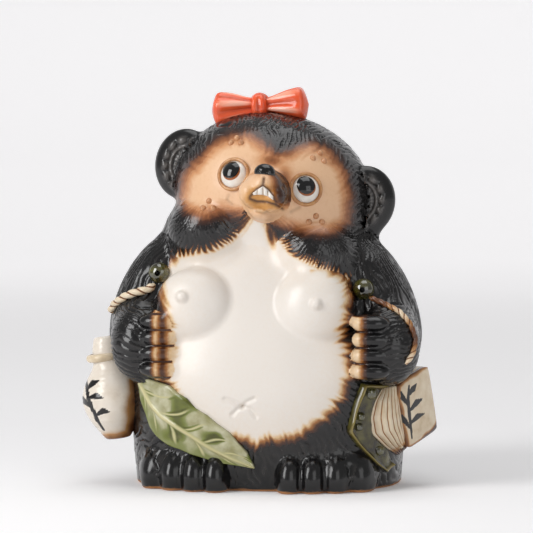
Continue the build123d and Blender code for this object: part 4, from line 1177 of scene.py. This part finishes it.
# %% Bow
bow_axes = turned(math.radians(-4.5), 1)
BOW_ASIDE, BOW_TALL, BOW_SUNK = 19, 17, 5
LOOP_LONG, LOOP_DEEP, LOOP_HIGH = 27.5, 9.0, 10.6
KNOT_WIDE, KNOT_DEEP, KNOT_HIGH = 6.4, 8.6, 8.6
crown = HEAD_HALF[2] * math.sqrt(1 - (BOW_ASIDE / HEAD_HALF[0]) ** 2)
bow_middle = on_head(-BOW_ASIDE, 0, crown + BOW_TALL / 2 - BOW_SUNK)
turn = np.linspace(0, 2 * math.pi, 97)[:-1]
along = np.sin(np.linspace(0, math.pi / 2, 60))[:, None]
flare = np.interp(along, [0, 0.2, 0.5, 0.75, 1.0], [0.42, 0.55, 0.82, 1.0, 1.06])
flare *= np.clip(1 - step_up(along, 0.72, 1.0) ** 3, 0, 1) ** 0.45 + 1e-3
for side, name in SIDE_NAMES.items():
    ripple = 0.18 * np.cos(9 * turn + side) * np.sin(np.pi * along) ** 2
    fold = np.cos(5 * turn + 0.9 * side) * (1 - along) ** 0.7 + ripple
    girth = flare * (1 + 0.19 * fold)
    ribbon = np.stack([
        np.broadcast_to(side * (3 + LOOP_LONG * along), girth.shape),
        LOOP_DEEP * girth * np.cos(turn),
        LOOP_HIGH * girth * np.sin(turn) - 1.2 * along**2,
    ], -1)
    vertices, rings = tube(bow_middle + ribbon @ bow_axes)
    # The pale crests on the upper side of the loops are a painted highlight
    painted_fold_highlight = np.clip(fold, 0, 1) * np.sin(np.pi * along) * (np.sin(turn) > -0.5)
    make_piece(f"bow_{name}_ribbon", f"bow_{name}_loop", vertices, rings, red_gloss, {
        "fold": 0.75 * tube_paint(np.clip(-fold, 0, 1)), "thin": 1.1 * tube_paint(painted_fold_highlight),
    })
tilt = np.linspace(-1, 1, 41)[:, None]
belt = np.sqrt(np.clip(1 - np.abs(tilt) ** 2.6, 0.02, 1))
knot_fold = np.cos(6 * turn) * (1 - tilt**2)
knot_girth = belt * (1 + 0.09 * knot_fold)
knot = np.stack([
    KNOT_WIDE * knot_girth * np.cos(turn),
    KNOT_DEEP * knot_girth * np.sin(turn),
    np.broadcast_to(KNOT_HIGH * tilt, knot_girth.shape),
], -1)
vertices, rings = tube(bow_middle + knot @ bow_axes)
make_piece("bow_wrap", "bow_knot", vertices, rings, red_gloss,
           {"fold": 0.8 * tube_paint(np.clip(-knot_fold, 0, 1))})
print("bow: two loops and a knot")

# %% [markdown]
# ## Flask
# The flask is thrown on a wheel, so it is a profile turned about an axis that leans away from the body. The
# wheel leaves rings on the neck. Brown is sprayed where it meets the body, and a sprig is brushed on it.

# %% Flask
FLASK_FOOT = np.array([-90.8, -30.0, 27.0])
# Its middle in the picture, and where the brown spray begins and is full
FLASK_PIXEL, SMOKE_ACROSS, SMOKE_DOWN = (100, 400), (121, 143), (430, 446)
flask_axes = turned(math.radians(-7.5), 1)
# Height and radius
FLASK_PROFILE = [
    (0, 4), (0.3, 7.2), (1.5, 8.4), (6, 11.4), (12, 15.4), (18, 18), (24, 19.2), (29, 18.9), (34, 17.2),
    (39, 14.4), (43, 11.6), (46, 10.0), (49, 9.4), (52, 9.2), (56, 9.1), (60, 8.2), (63.3, 7.4), (64, 6),
]
# Points and half widths of the brush strokes: a stem and four leaves
FLASK_SPRIG = [
    ([(86, 380), (88, 398), (97, 420), (104, 430)], [1.2, 1.6, 1.4, 0.7]),
    ([(87, 389), (93, 383), (98, 381)], [0.8, 3.0, 0.6]),
    ([(88, 398), (96, 396), (102, 398)], [0.8, 3.2, 0.6]),
    ([(91, 407), (85, 402), (82, 396)], [0.8, 2.4, 0.6]),
    ([(95, 416), (103, 411), (109, 412)], [0.8, 3.0, 0.6]),
]


def brush(pixels, strokes):
    """Ink on picture pixels: one inside the strokes and zero beyond them."""
    ink = np.zeros(len(pixels))
    for points, widths in strokes:
        for (_, _, share, away), first, last in zip(runs_of(points, pixels), widths, widths[1:]):
            ink = np.maximum(ink, 1 - step_up(away / (first + share * (last - first)), 0.75, 1.05))
    return ink


profile = smooth_line(FLASK_PROFILE, 140, 5)
rise, radius = profile[:, :1], profile[:, 1:] + 0.05 * np.sin(profile[:, :1] * 2.1)
thrown = np.stack([radius * np.cos(turn), radius * np.sin(turn), np.broadcast_to(rise, (140, len(turn)))], -1)
vertices, rings = tube(FLASK_FOOT + thrown @ flask_axes)
pixels = in_picture(vertices)
mottle = cloudy(vertices, 9, 6)
from_flask = pixels - FLASK_PIXEL
by_body = step_up(pixels[:, 0] + 4 * mottle + 0.12 * from_flask[:, 1], *SMOKE_ACROSS)
by_foot = step_up(pixels[:, 1] + 4 * mottle + 0.25 * from_flask[:, 0], *SMOKE_DOWN)
make_piece("thrown_flask", "flask", vertices, rings, flask_glaze, {
    "spray": np.maximum(0.75 * by_body, 0.55 * by_foot),
    "ink": brush(pixels, FLASK_SPRIG) * (vertices[:, 1] < FLASK_FOOT[1]),
})
print("flask:", len(vertices), "vertices, widest", round(float(radius.max() * 2), 1), "mm")

# %% [markdown]
# ## Account book
# The book hangs at the left hip, turned so that its cover and the edges of its pages both show. The cover
# is a soft slab. The pages are one block whose edge is scored with a tool, and the brown glaze runs into
# the scores, which is what makes them read as paper.

# %% Book cover
BOOK_TURN, BOOK_LEAN, BOOK_HEIGHT = math.radians(64), math.radians(16), 49
COVER_HALF_WIDE, COVER_HALF_TALL = 18, 21
# Points and half widths of the brush strokes: a stem and five leaves
BOOK_SPRIG = [
    ([(412, 438), (410, 420), (408, 400), (409, 386)], [0.7, 1.5, 1.5, 0.8]),
    ([(410, 424), (418, 416), (424, 414)], [0.8, 2.6, 0.6]),
    ([(409, 412), (417, 402), (422, 399)], [0.8, 2.8, 0.6]),
    ([(410, 428), (405, 421), (402, 415)], [0.8, 2.4, 0.6]),
    ([(408, 405), (403, 398), (401, 392)], [0.8, 2.4, 0.6]),
    ([(408, 396), (413, 389), (416, 384)], [0.8, 2.6, 0.6]),
]
across_book = np.array([
    math.cos(BOOK_TURN) * math.cos(BOOK_LEAN), math.sin(BOOK_TURN) * math.cos(BOOK_LEAN), math.sin(BOOK_LEAN),
])
through_book = np.array([-math.sin(BOOK_TURN), math.cos(BOOK_TURN), 0])
book_axes = np.array([across_book, through_book, np.cross(across_book, through_book)])
hip_x = float(np.interp(BOOK_HEIGHT, torso_steps, torso_girth[:, 0]))
book_middle = np.array([hip_x + 3.5, -23, BOOK_HEIGHT])
u, v = sheet_grid(61, 71, -1, -1)
to_edge = np.maximum(np.abs(u), np.abs(v))
# A square grid pulled in at its corners
round_off = 1 - 0.06 * (np.abs(u) * np.abs(v)) ** 6
puff = (1 - u**4) * (1 - v**4)
front, behind = (
    np.stack([COVER_HALF_WIDE * u * round_off, depth, COVER_HALF_TALL * v * round_off], -1)
    for depth in (-9.2 - 1.0 * puff - 0.8 * (1 - to_edge**10), np.full(u.shape, -6.2))
)
vertices, rings = slab(book_middle + front @ book_axes, book_middle + behind @ book_axes)
mottle = cloudy(vertices, 8, 7)
rim_spray = 0.55 * step_up(slab_paint(to_edge) + 0.05 * mottle, 0.86, 1.02)
foot_spray = 0.9 * step_up(-slab_paint(v) + 0.1 * mottle + 0.25 * slab_paint(u), 0.82, 1.1)
make_piece("book_cover", "ledger_cover", vertices, rings, cream_gloss, {
    "spray": np.maximum(rim_spray, foot_spray), "ink": brush(in_picture(vertices), BOOK_SPRIG),
})
print("book cover:", len(vertices), "vertices")

# %% Book pages
PAGE_HALF_WIDE, PAGE_HALF_THICK, PAGE_HALF_TALL = 17, 7.6, 20
level = np.linspace(-1, 1, 61)[:, None]
girth = np.linspace(0, 4, 361)[:-1]
corner, step = np.floor(girth).astype(int), girth - np.floor(girth)
square = np.array([(-1, 1), (-1, -1), (1, -1), (1, 1), (-1, 1)], float)
outline = square[corner] + step[:, None] * (square[corner + 1] - square[corner])
fore_side = corner == 0
scored = fore_side * step_up(step, 0.02, 0.1) * (1 - step_up(step, 0.9, 0.98))
page_number = outline[:, 1] * 3.4 + 0.5 * np.sin(outline[:, 1] * 5)
score = np.abs(np.sin(np.pi * (page_number + 0.35 * np.sin(2.2 * level)))) ** 0.5
depth_of_score = (1 - score) * scored
block = np.stack([
    PAGE_HALF_WIDE * outline[:, 0] - 2.6 * step_up(-level, -0.9, 0.6) * fore_side + 1.1 * depth_of_score,
    np.broadcast_to(1.5 + PAGE_HALF_THICK * outline[:, 1], score.shape),
    np.broadcast_to(PAGE_HALF_TALL * level, score.shape),
], -1)
page_block = tube(book_middle + block @ book_axes)
block_spray = tube_paint(0.85 * step_up(depth_of_score, 0.25, 0.8))
# The page edges fan out from the cover's fore edge over the hip
FAN_HEM = [(380, 388), (371, 402), (368, 418), (371, 434), (384, 447), (397, 455)]
u, v = sheet_grid(61, 91)
hip, outward = on_clay(smooth_line(FAN_HEM, 61, 4), torso_distance)
down = np.linspace(PAGE_HALF_TALL, -PAGE_HALF_TALL, 61)
fore_edge = np.stack([np.full(61, -17.5), np.full(61, -6.8), down], 1)
fore_edge = book_middle + fore_edge @ book_axes
score = np.abs(np.sin(np.pi * (6 * v + 0.5 * np.sin(2.5 * u)))) ** 0.5
belly = 5 * np.sin(np.pi * v) * np.sin(np.pi * u) + 1.5 - 1.1 * (1 - score)
fan = hip[:, None] + (fore_edge - hip)[:, None] * v[..., None] + belly[..., None] * outward[:, None]
page_fan = slab(fan, fan - (4 + belly)[..., None] * outward[:, None])
fan_spray = np.maximum(0.8 * step_up(1 - score, 0.3, 0.9), 0.9 * step_up(u, 0.8, 1.05))
spray = np.concatenate([block_spray, slab_paint(fan_spray)])
vertices, rings = joined([page_block, page_fan])
make_piece("book_pages", "ledger_pages", vertices, rings, cream_gloss, {"spray": spray, "ink": 0 * spray})
print("book pages:", len(vertices), "vertices")

# %% [markdown]
# ## Teeth
# Four small teeth show under the raised lip. Each is a chip of white clay with a soft swell, pressed on the
# muzzle, and the two in the middle are the longest.

# %% Teeth
# Corners in the picture: upper left, upper right, lower right, lower left
TEETH = [
    [(252.5, 193.0), (257.2, 189.6), (257.4, 194.8), (253.2, 195.2)],
    [(257.5, 189.4), (262.8, 186.2), (262.8, 194.8), (257.7, 194.8)],
    [(263.2, 186.2), (267.6, 189.6), (267.8, 196.4), (263.2, 195.0)],
    [(267.9, 189.8), (273.4, 196.4), (273.2, 200.2), (268.1, 196.8)],
]
u, v = sheet_grid(15, 15)
swell = 1.3 * (1 - np.abs(2 * u - 1) ** 4) * (1 - np.abs(2 * v - 1) ** 6)
chips = []
for corners in np.array(TEETH):
    top = corners[0] + (corners[1] - corners[0]) * u[..., None]
    bite = corners[3] + (corners[2] - corners[3]) * u[..., None]
    places, outward = on_clay(top + (bite - top) * v[..., None], clay_distance)
    chips.append(slab(places + swell[..., None] * outward, places - 1.0 * outward))
vertices, rings = joined(chips)
make_piece("pressed_teeth", "upper_teeth", vertices, rings, white_gloss)
print("teeth:", len(TEETH))

# %% [markdown]
# ## Beads
# Small pellets of clay, three together, sit on the brows and cheeks. They are pressed on the face, so each is
# a low dome.

# %% Beads
BEADS = {
    "brow_beads": [(231, 143), (237, 138), (241, 143), (313, 158), (320, 153), (324, 161)],
    "cheek_beads": [(203, 208), (209, 201), (213, 208), (309, 222), (316, 216), (322, 222)],
}
BEAD_RADIUS, BEAD_HIGH = 2.0, 2.4
ROUND, SQUARISH = 2.0, 2.6
for node, spots in BEADS.items():
    vertices, rings = domes([(spot, BEAD_RADIUS) for spot in spots], BEAD_HIGH, clay_distance, ROUND)
    make_piece(f"pressed_{node}", node, vertices, rings, bead_glaze)
    print(node, len(spots))

# %% [markdown]
# ## Pouch
# A small pouch hangs between the belly and the book: a panel with a raised rim and a few glossy studs. It is
# laid on the hip like the leaf. The runny ash glaze pools dark beside the rim and thins to amber on the edge.

# %% Pouch
POUCH_LEFT = [(361, 383), (354, 402), (346, 432), (357, 446), (372, 463), (384, 472)]
POUCH_RIGHT = [(387, 384), (377, 402), (369, 420), (372, 437), (385, 450), (391, 466)]
POUCH_LONG, POUCH_WIDE, RIM_INSET = 54, 13, 1.6
# Places in the picture and radii
STUDS = [((369, 393), 4.2), ((359, 416), 2.9), ((357, 426), 2.9), ((377, 450), 3.4)]
STUD_HIGH = 5.4
u, v = sheet_grid(91, 41)
left_edge, right_edge = (smooth_line(points, 91, 3)[:, None] for points in (POUCH_LEFT, POUCH_RIGHT))
places, outward = on_clay(left_edge + (right_edge - left_edge) * v[..., None], torso_distance)
from_edge = np.minimum(np.minimum(u, 1 - u) * POUCH_LONG, v * POUCH_WIDE)
rim = 2.2 * np.exp(-(((from_edge - RIM_INSET) / 1.1) ** 2))
rise = (2.0 + 0.8 * cloudy(places, 7, 6) + rim) * step_up(from_edge, -0.4, 0.8)
vertices, rings = slab(places + rise[..., None] * outward, places - SUNK * outward)
amber = slab_paint(0.9 * np.exp(-(((from_edge - RIM_INSET) / 0.8) ** 2)))
make_piece("laid_pouch", "pouch", vertices, rings, pouch_gloss, {"amber": amber})
print("pouch:", len(vertices), "vertices and", len(STUDS), "studs")
vertices, rings = domes(STUDS, STUD_HIGH, torso_distance, SQUARISH)
make_piece("pouch_bosses", "pouch_studs", vertices, rings, olive_gloss)

# %% [markdown]
# ## Cords
# A cord of clay lies over each arm. It is rolled thin and twisted like rope, so a tube's wall has two
# strands that wind round it, and brown glaze stays in the twist.

# %% Cords
# Points in the picture, and the radius
CORD_LINES = {
    RIGHT: ([(155, 284), (148, 290), (136, 293), (126, 297), (116, 304), (112, 312)], 2.6),
    LEFT: ([(369, 297), (386, 305), (400, 313), (410, 325), (415, 340), (412, 354), (405, 364)], 1.75),
}
ring_turn = np.linspace(0, 2 * math.pi, 41)[:-1]
for side, name in SIDE_NAMES.items():
    line_pixels, thick = CORD_LINES[side]
    spine, outward = on_clay(smooth_line(line_pixels, 160), clay_distance)
    spine = rounded(spine, 30)
    ahead = unit(np.gradient(spine, axis=0))
    aside = unit(np.cross(ahead, outward))
    outward = np.cross(aside, ahead)
    run = length_along(spine)[:, None]
    twist = np.abs(np.sin(ring_turn + run * math.pi / (2.6 * thick)))
    taper = np.minimum(1, 0.35 + np.minimum(run, run[-1] - run) / 4)
    wall = thick * (0.72 + 0.28 * twist**0.7) * taper
    around = np.cos(ring_turn)[:, None] * aside[:, None] + np.sin(ring_turn)[:, None] * outward[:, None]
    vertices, rings = tube((spine + 0.35 * thick * outward)[:, None] + wall[..., None] * around)
    # The left cord also takes some of the brown that is sprayed over the arm
    smoked = 0.42 + 0.3 * np.sin(run / 5) if side == LEFT else 0
    groove = tube_paint(np.maximum(0.8 * step_up(1 - twist, 0.45, 0.95), smoked))
    make_piece(f"{name}_twisted_cord", f"{name}_cord", vertices, rings, cream_gloss,
               {"spray": groove, "ink": 0 * groove})
    print(name, "cord:", round(float(run[-1, 0])), "mm long")

# %% [markdown]
# ## Pieces that stay as they are
# The eyes and their rims, the nose, the toggles, the flask's collar and the base slab already have their
# shape in the solids, so they keep their own meshes and only take a glaze.

# %% Glazed solids
IRIS_RADIUS = 6.0
kept = {"base_slab": clay_bare, "nose": black_gloss, "flask_collar": cream_gloss}
for name in SIDE_NAMES.values():
    # Bright wet white with an amber iris, which is a ring round the middle of the pupil
    eye_white = brushed_glaze(f"{name}_eye_tin_glaze", "#EEE9E2", "#E4DDD3", 0.06, 6)
    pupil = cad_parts[f"{name}_pupil"]
    corners = [pupil.matrix_world @ vertex.co for vertex in pupil.data.vertices]
    middle = sum(corners, Vector()) / len(corners)
    in_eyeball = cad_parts[f"{name}_eyeball"].matrix_world.inverted() @ middle
    nodes = eye_white.node_tree.nodes
    spot = put(eye_white, "ShaderNodeTexCoord")
    away = put(eye_white, "ShaderNodeVectorMath", {0: spot.outputs["Object"], 1: in_eyeball},
               operation="DISTANCE")
    iris = put(eye_white, "ShaderNodeMapRange",
               {0: away.outputs["Value"], 1: IRIS_RADIUS * MM, 2: (IRIS_RADIUS - 0.3) * MM})
    ringed = put(eye_white, "ShaderNodeMix", {
        0: iris.outputs[0], 6: nodes["Color Ramp"].outputs["Color"], 7: glaze_colour("#9A5420"),
    }, data_type="RGBA")
    eye_white.node_tree.links.new(ringed.outputs[2], nodes["Principled BSDF"].inputs["Base Color"])
    kept.update({
        f"{name}_eyeball": eye_white, f"{name}_pupil": black_gloss, f"{name}_eye_rim": eye_rim_glaze,
        f"{name}_toggle": olive_gloss,
    })
for node, material in kept.items():
    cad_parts[node].data.materials.clear()
    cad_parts[node].data.materials.append(material)
print("solids glazed as they are:", len(kept))

# %% [markdown]
# ## Floor and light
# The photograph has a seamless white sweep, a large soft window of light from the left and a bright room.
# A sheet that runs back and curves up gives the sweep. One tall softbox is the window, a weaker one sends
# light back from the right, a broad one hangs overhead, and the world is the room. A white sheet comes out
# just below white.

# %% Sweep
# Depth and height in metres, and the half width
SWEEP_PROFILE = [(-8.0, 0.0), (2.3, 0.0), (2.7, 0.04), (3.0, 0.18), (3.15, 0.45), (3.2, 0.9), (3.21, 3.2)]
SWEEP_HALF = 8.0
UNDER_FOOT = 0.2 * MM
sweep_points = [(x, y, z - UNDER_FOOT) for x in (-SWEEP_HALF, SWEEP_HALF) for y, z in SWEEP_PROFILE]
last = len(SWEEP_PROFILE)
sweep_mesh = bpy.data.meshes.new("sweep")
sweep_mesh.from_pydata(sweep_points, [], [(i, last + i, last + i + 1, i + 1) for i in range(last - 1)])
sweep_mesh.shade_smooth()
PAPER_WHITE = glaze_colour("#F4F3F4")
# A matt white that fades into the distance and still shows the figure's soft shadow
paper = new_material("matt_white_paper")
paper_shader = put(paper, "ShaderNodeBsdfDiffuse", {"Color": PAPER_WHITE})
# The lens and the glazes see the sheet lifted to white, most where it is far off
spread = put(paper, "ShaderNodeTexCoord")
far_off = put(paper, "ShaderNodeVectorMath", {0: spread.outputs["Object"]}, operation="LENGTH")
whiter = put(paper, "ShaderNodeMapRange", {0: far_off.outputs["Value"], 1: 0.4, 2: 2.6, 3: 0.1, 4: 0.54})
rays = put(paper, "ShaderNodeLightPath")
mirrored = put(paper, "ShaderNodeMath", {0: rays.outputs["Is Camera Ray"], 1: rays.outputs["Is Glossy Ray"]},
               operation="MAXIMUM")
through = put(paper, "ShaderNodeMath", {0: mirrored.outputs[0], 1: rays.outputs["Is Transmission Ray"]},
              operation="MAXIMUM")
lift = put(paper, "ShaderNodeMath", {0: through.outputs[0], 1: whiter.outputs[0]}, operation="MULTIPLY")
glow = put(paper, "ShaderNodeEmission", {"Color": PAPER_WHITE, "Strength": lift.outputs[0]})
sheet = put(paper, "ShaderNodeAddShader", {0: paper_shader.outputs[0], 1: glow.outputs[0]})
put(paper, "ShaderNodeOutputMaterial", {"Surface": sheet.outputs[0]})
sweep_mesh.materials.append(paper)
sweep = bpy.data.objects.new("sweep", sweep_mesh)
bpy.context.scene.collection.objects.link(sweep)
print("sweep:", len(sweep_points), "points")

# %% Lights
FIGURE_MIDDLE = Vector((0, 0, 0.13))


def softbox(name, place, size, watts):
    """A rectangular light at a place in metres, turned to the middle of the figure."""
    light = bpy.data.lights.new(name, "AREA")
    light.shape = "RECTANGLE"
    light.size, light.size_y = size
    light.energy = watts
    lamp = bpy.data.objects.new(name, light)
    lamp.location = place
    lamp.rotation_euler = (FIGURE_MIDDLE - Vector(place)).to_track_quat("-Z", "Y").to_euler()
    bpy.context.scene.collection.objects.link(lamp)


softbox("window", (-1.0, -1.0, 0.75), (0.65, 1.15), 15)
softbox("reflector", (1.1, -1.2, 0.5), (1.0, 1.0), 4)
softbox("overhead", (0.15, 0.1, 1.7), (1.2, 1.2), 9)
room = bpy.data.worlds.new("room")
room.use_nodes = True
room.node_tree.nodes["Background"].inputs["Color"].default_value = glaze_colour("#FFFFFF")
room.node_tree.nodes["Background"].inputs["Strength"].default_value = 0.34
bpy.context.scene.world = room
bpy.context.scene.view_settings.view_transform = "Standard"
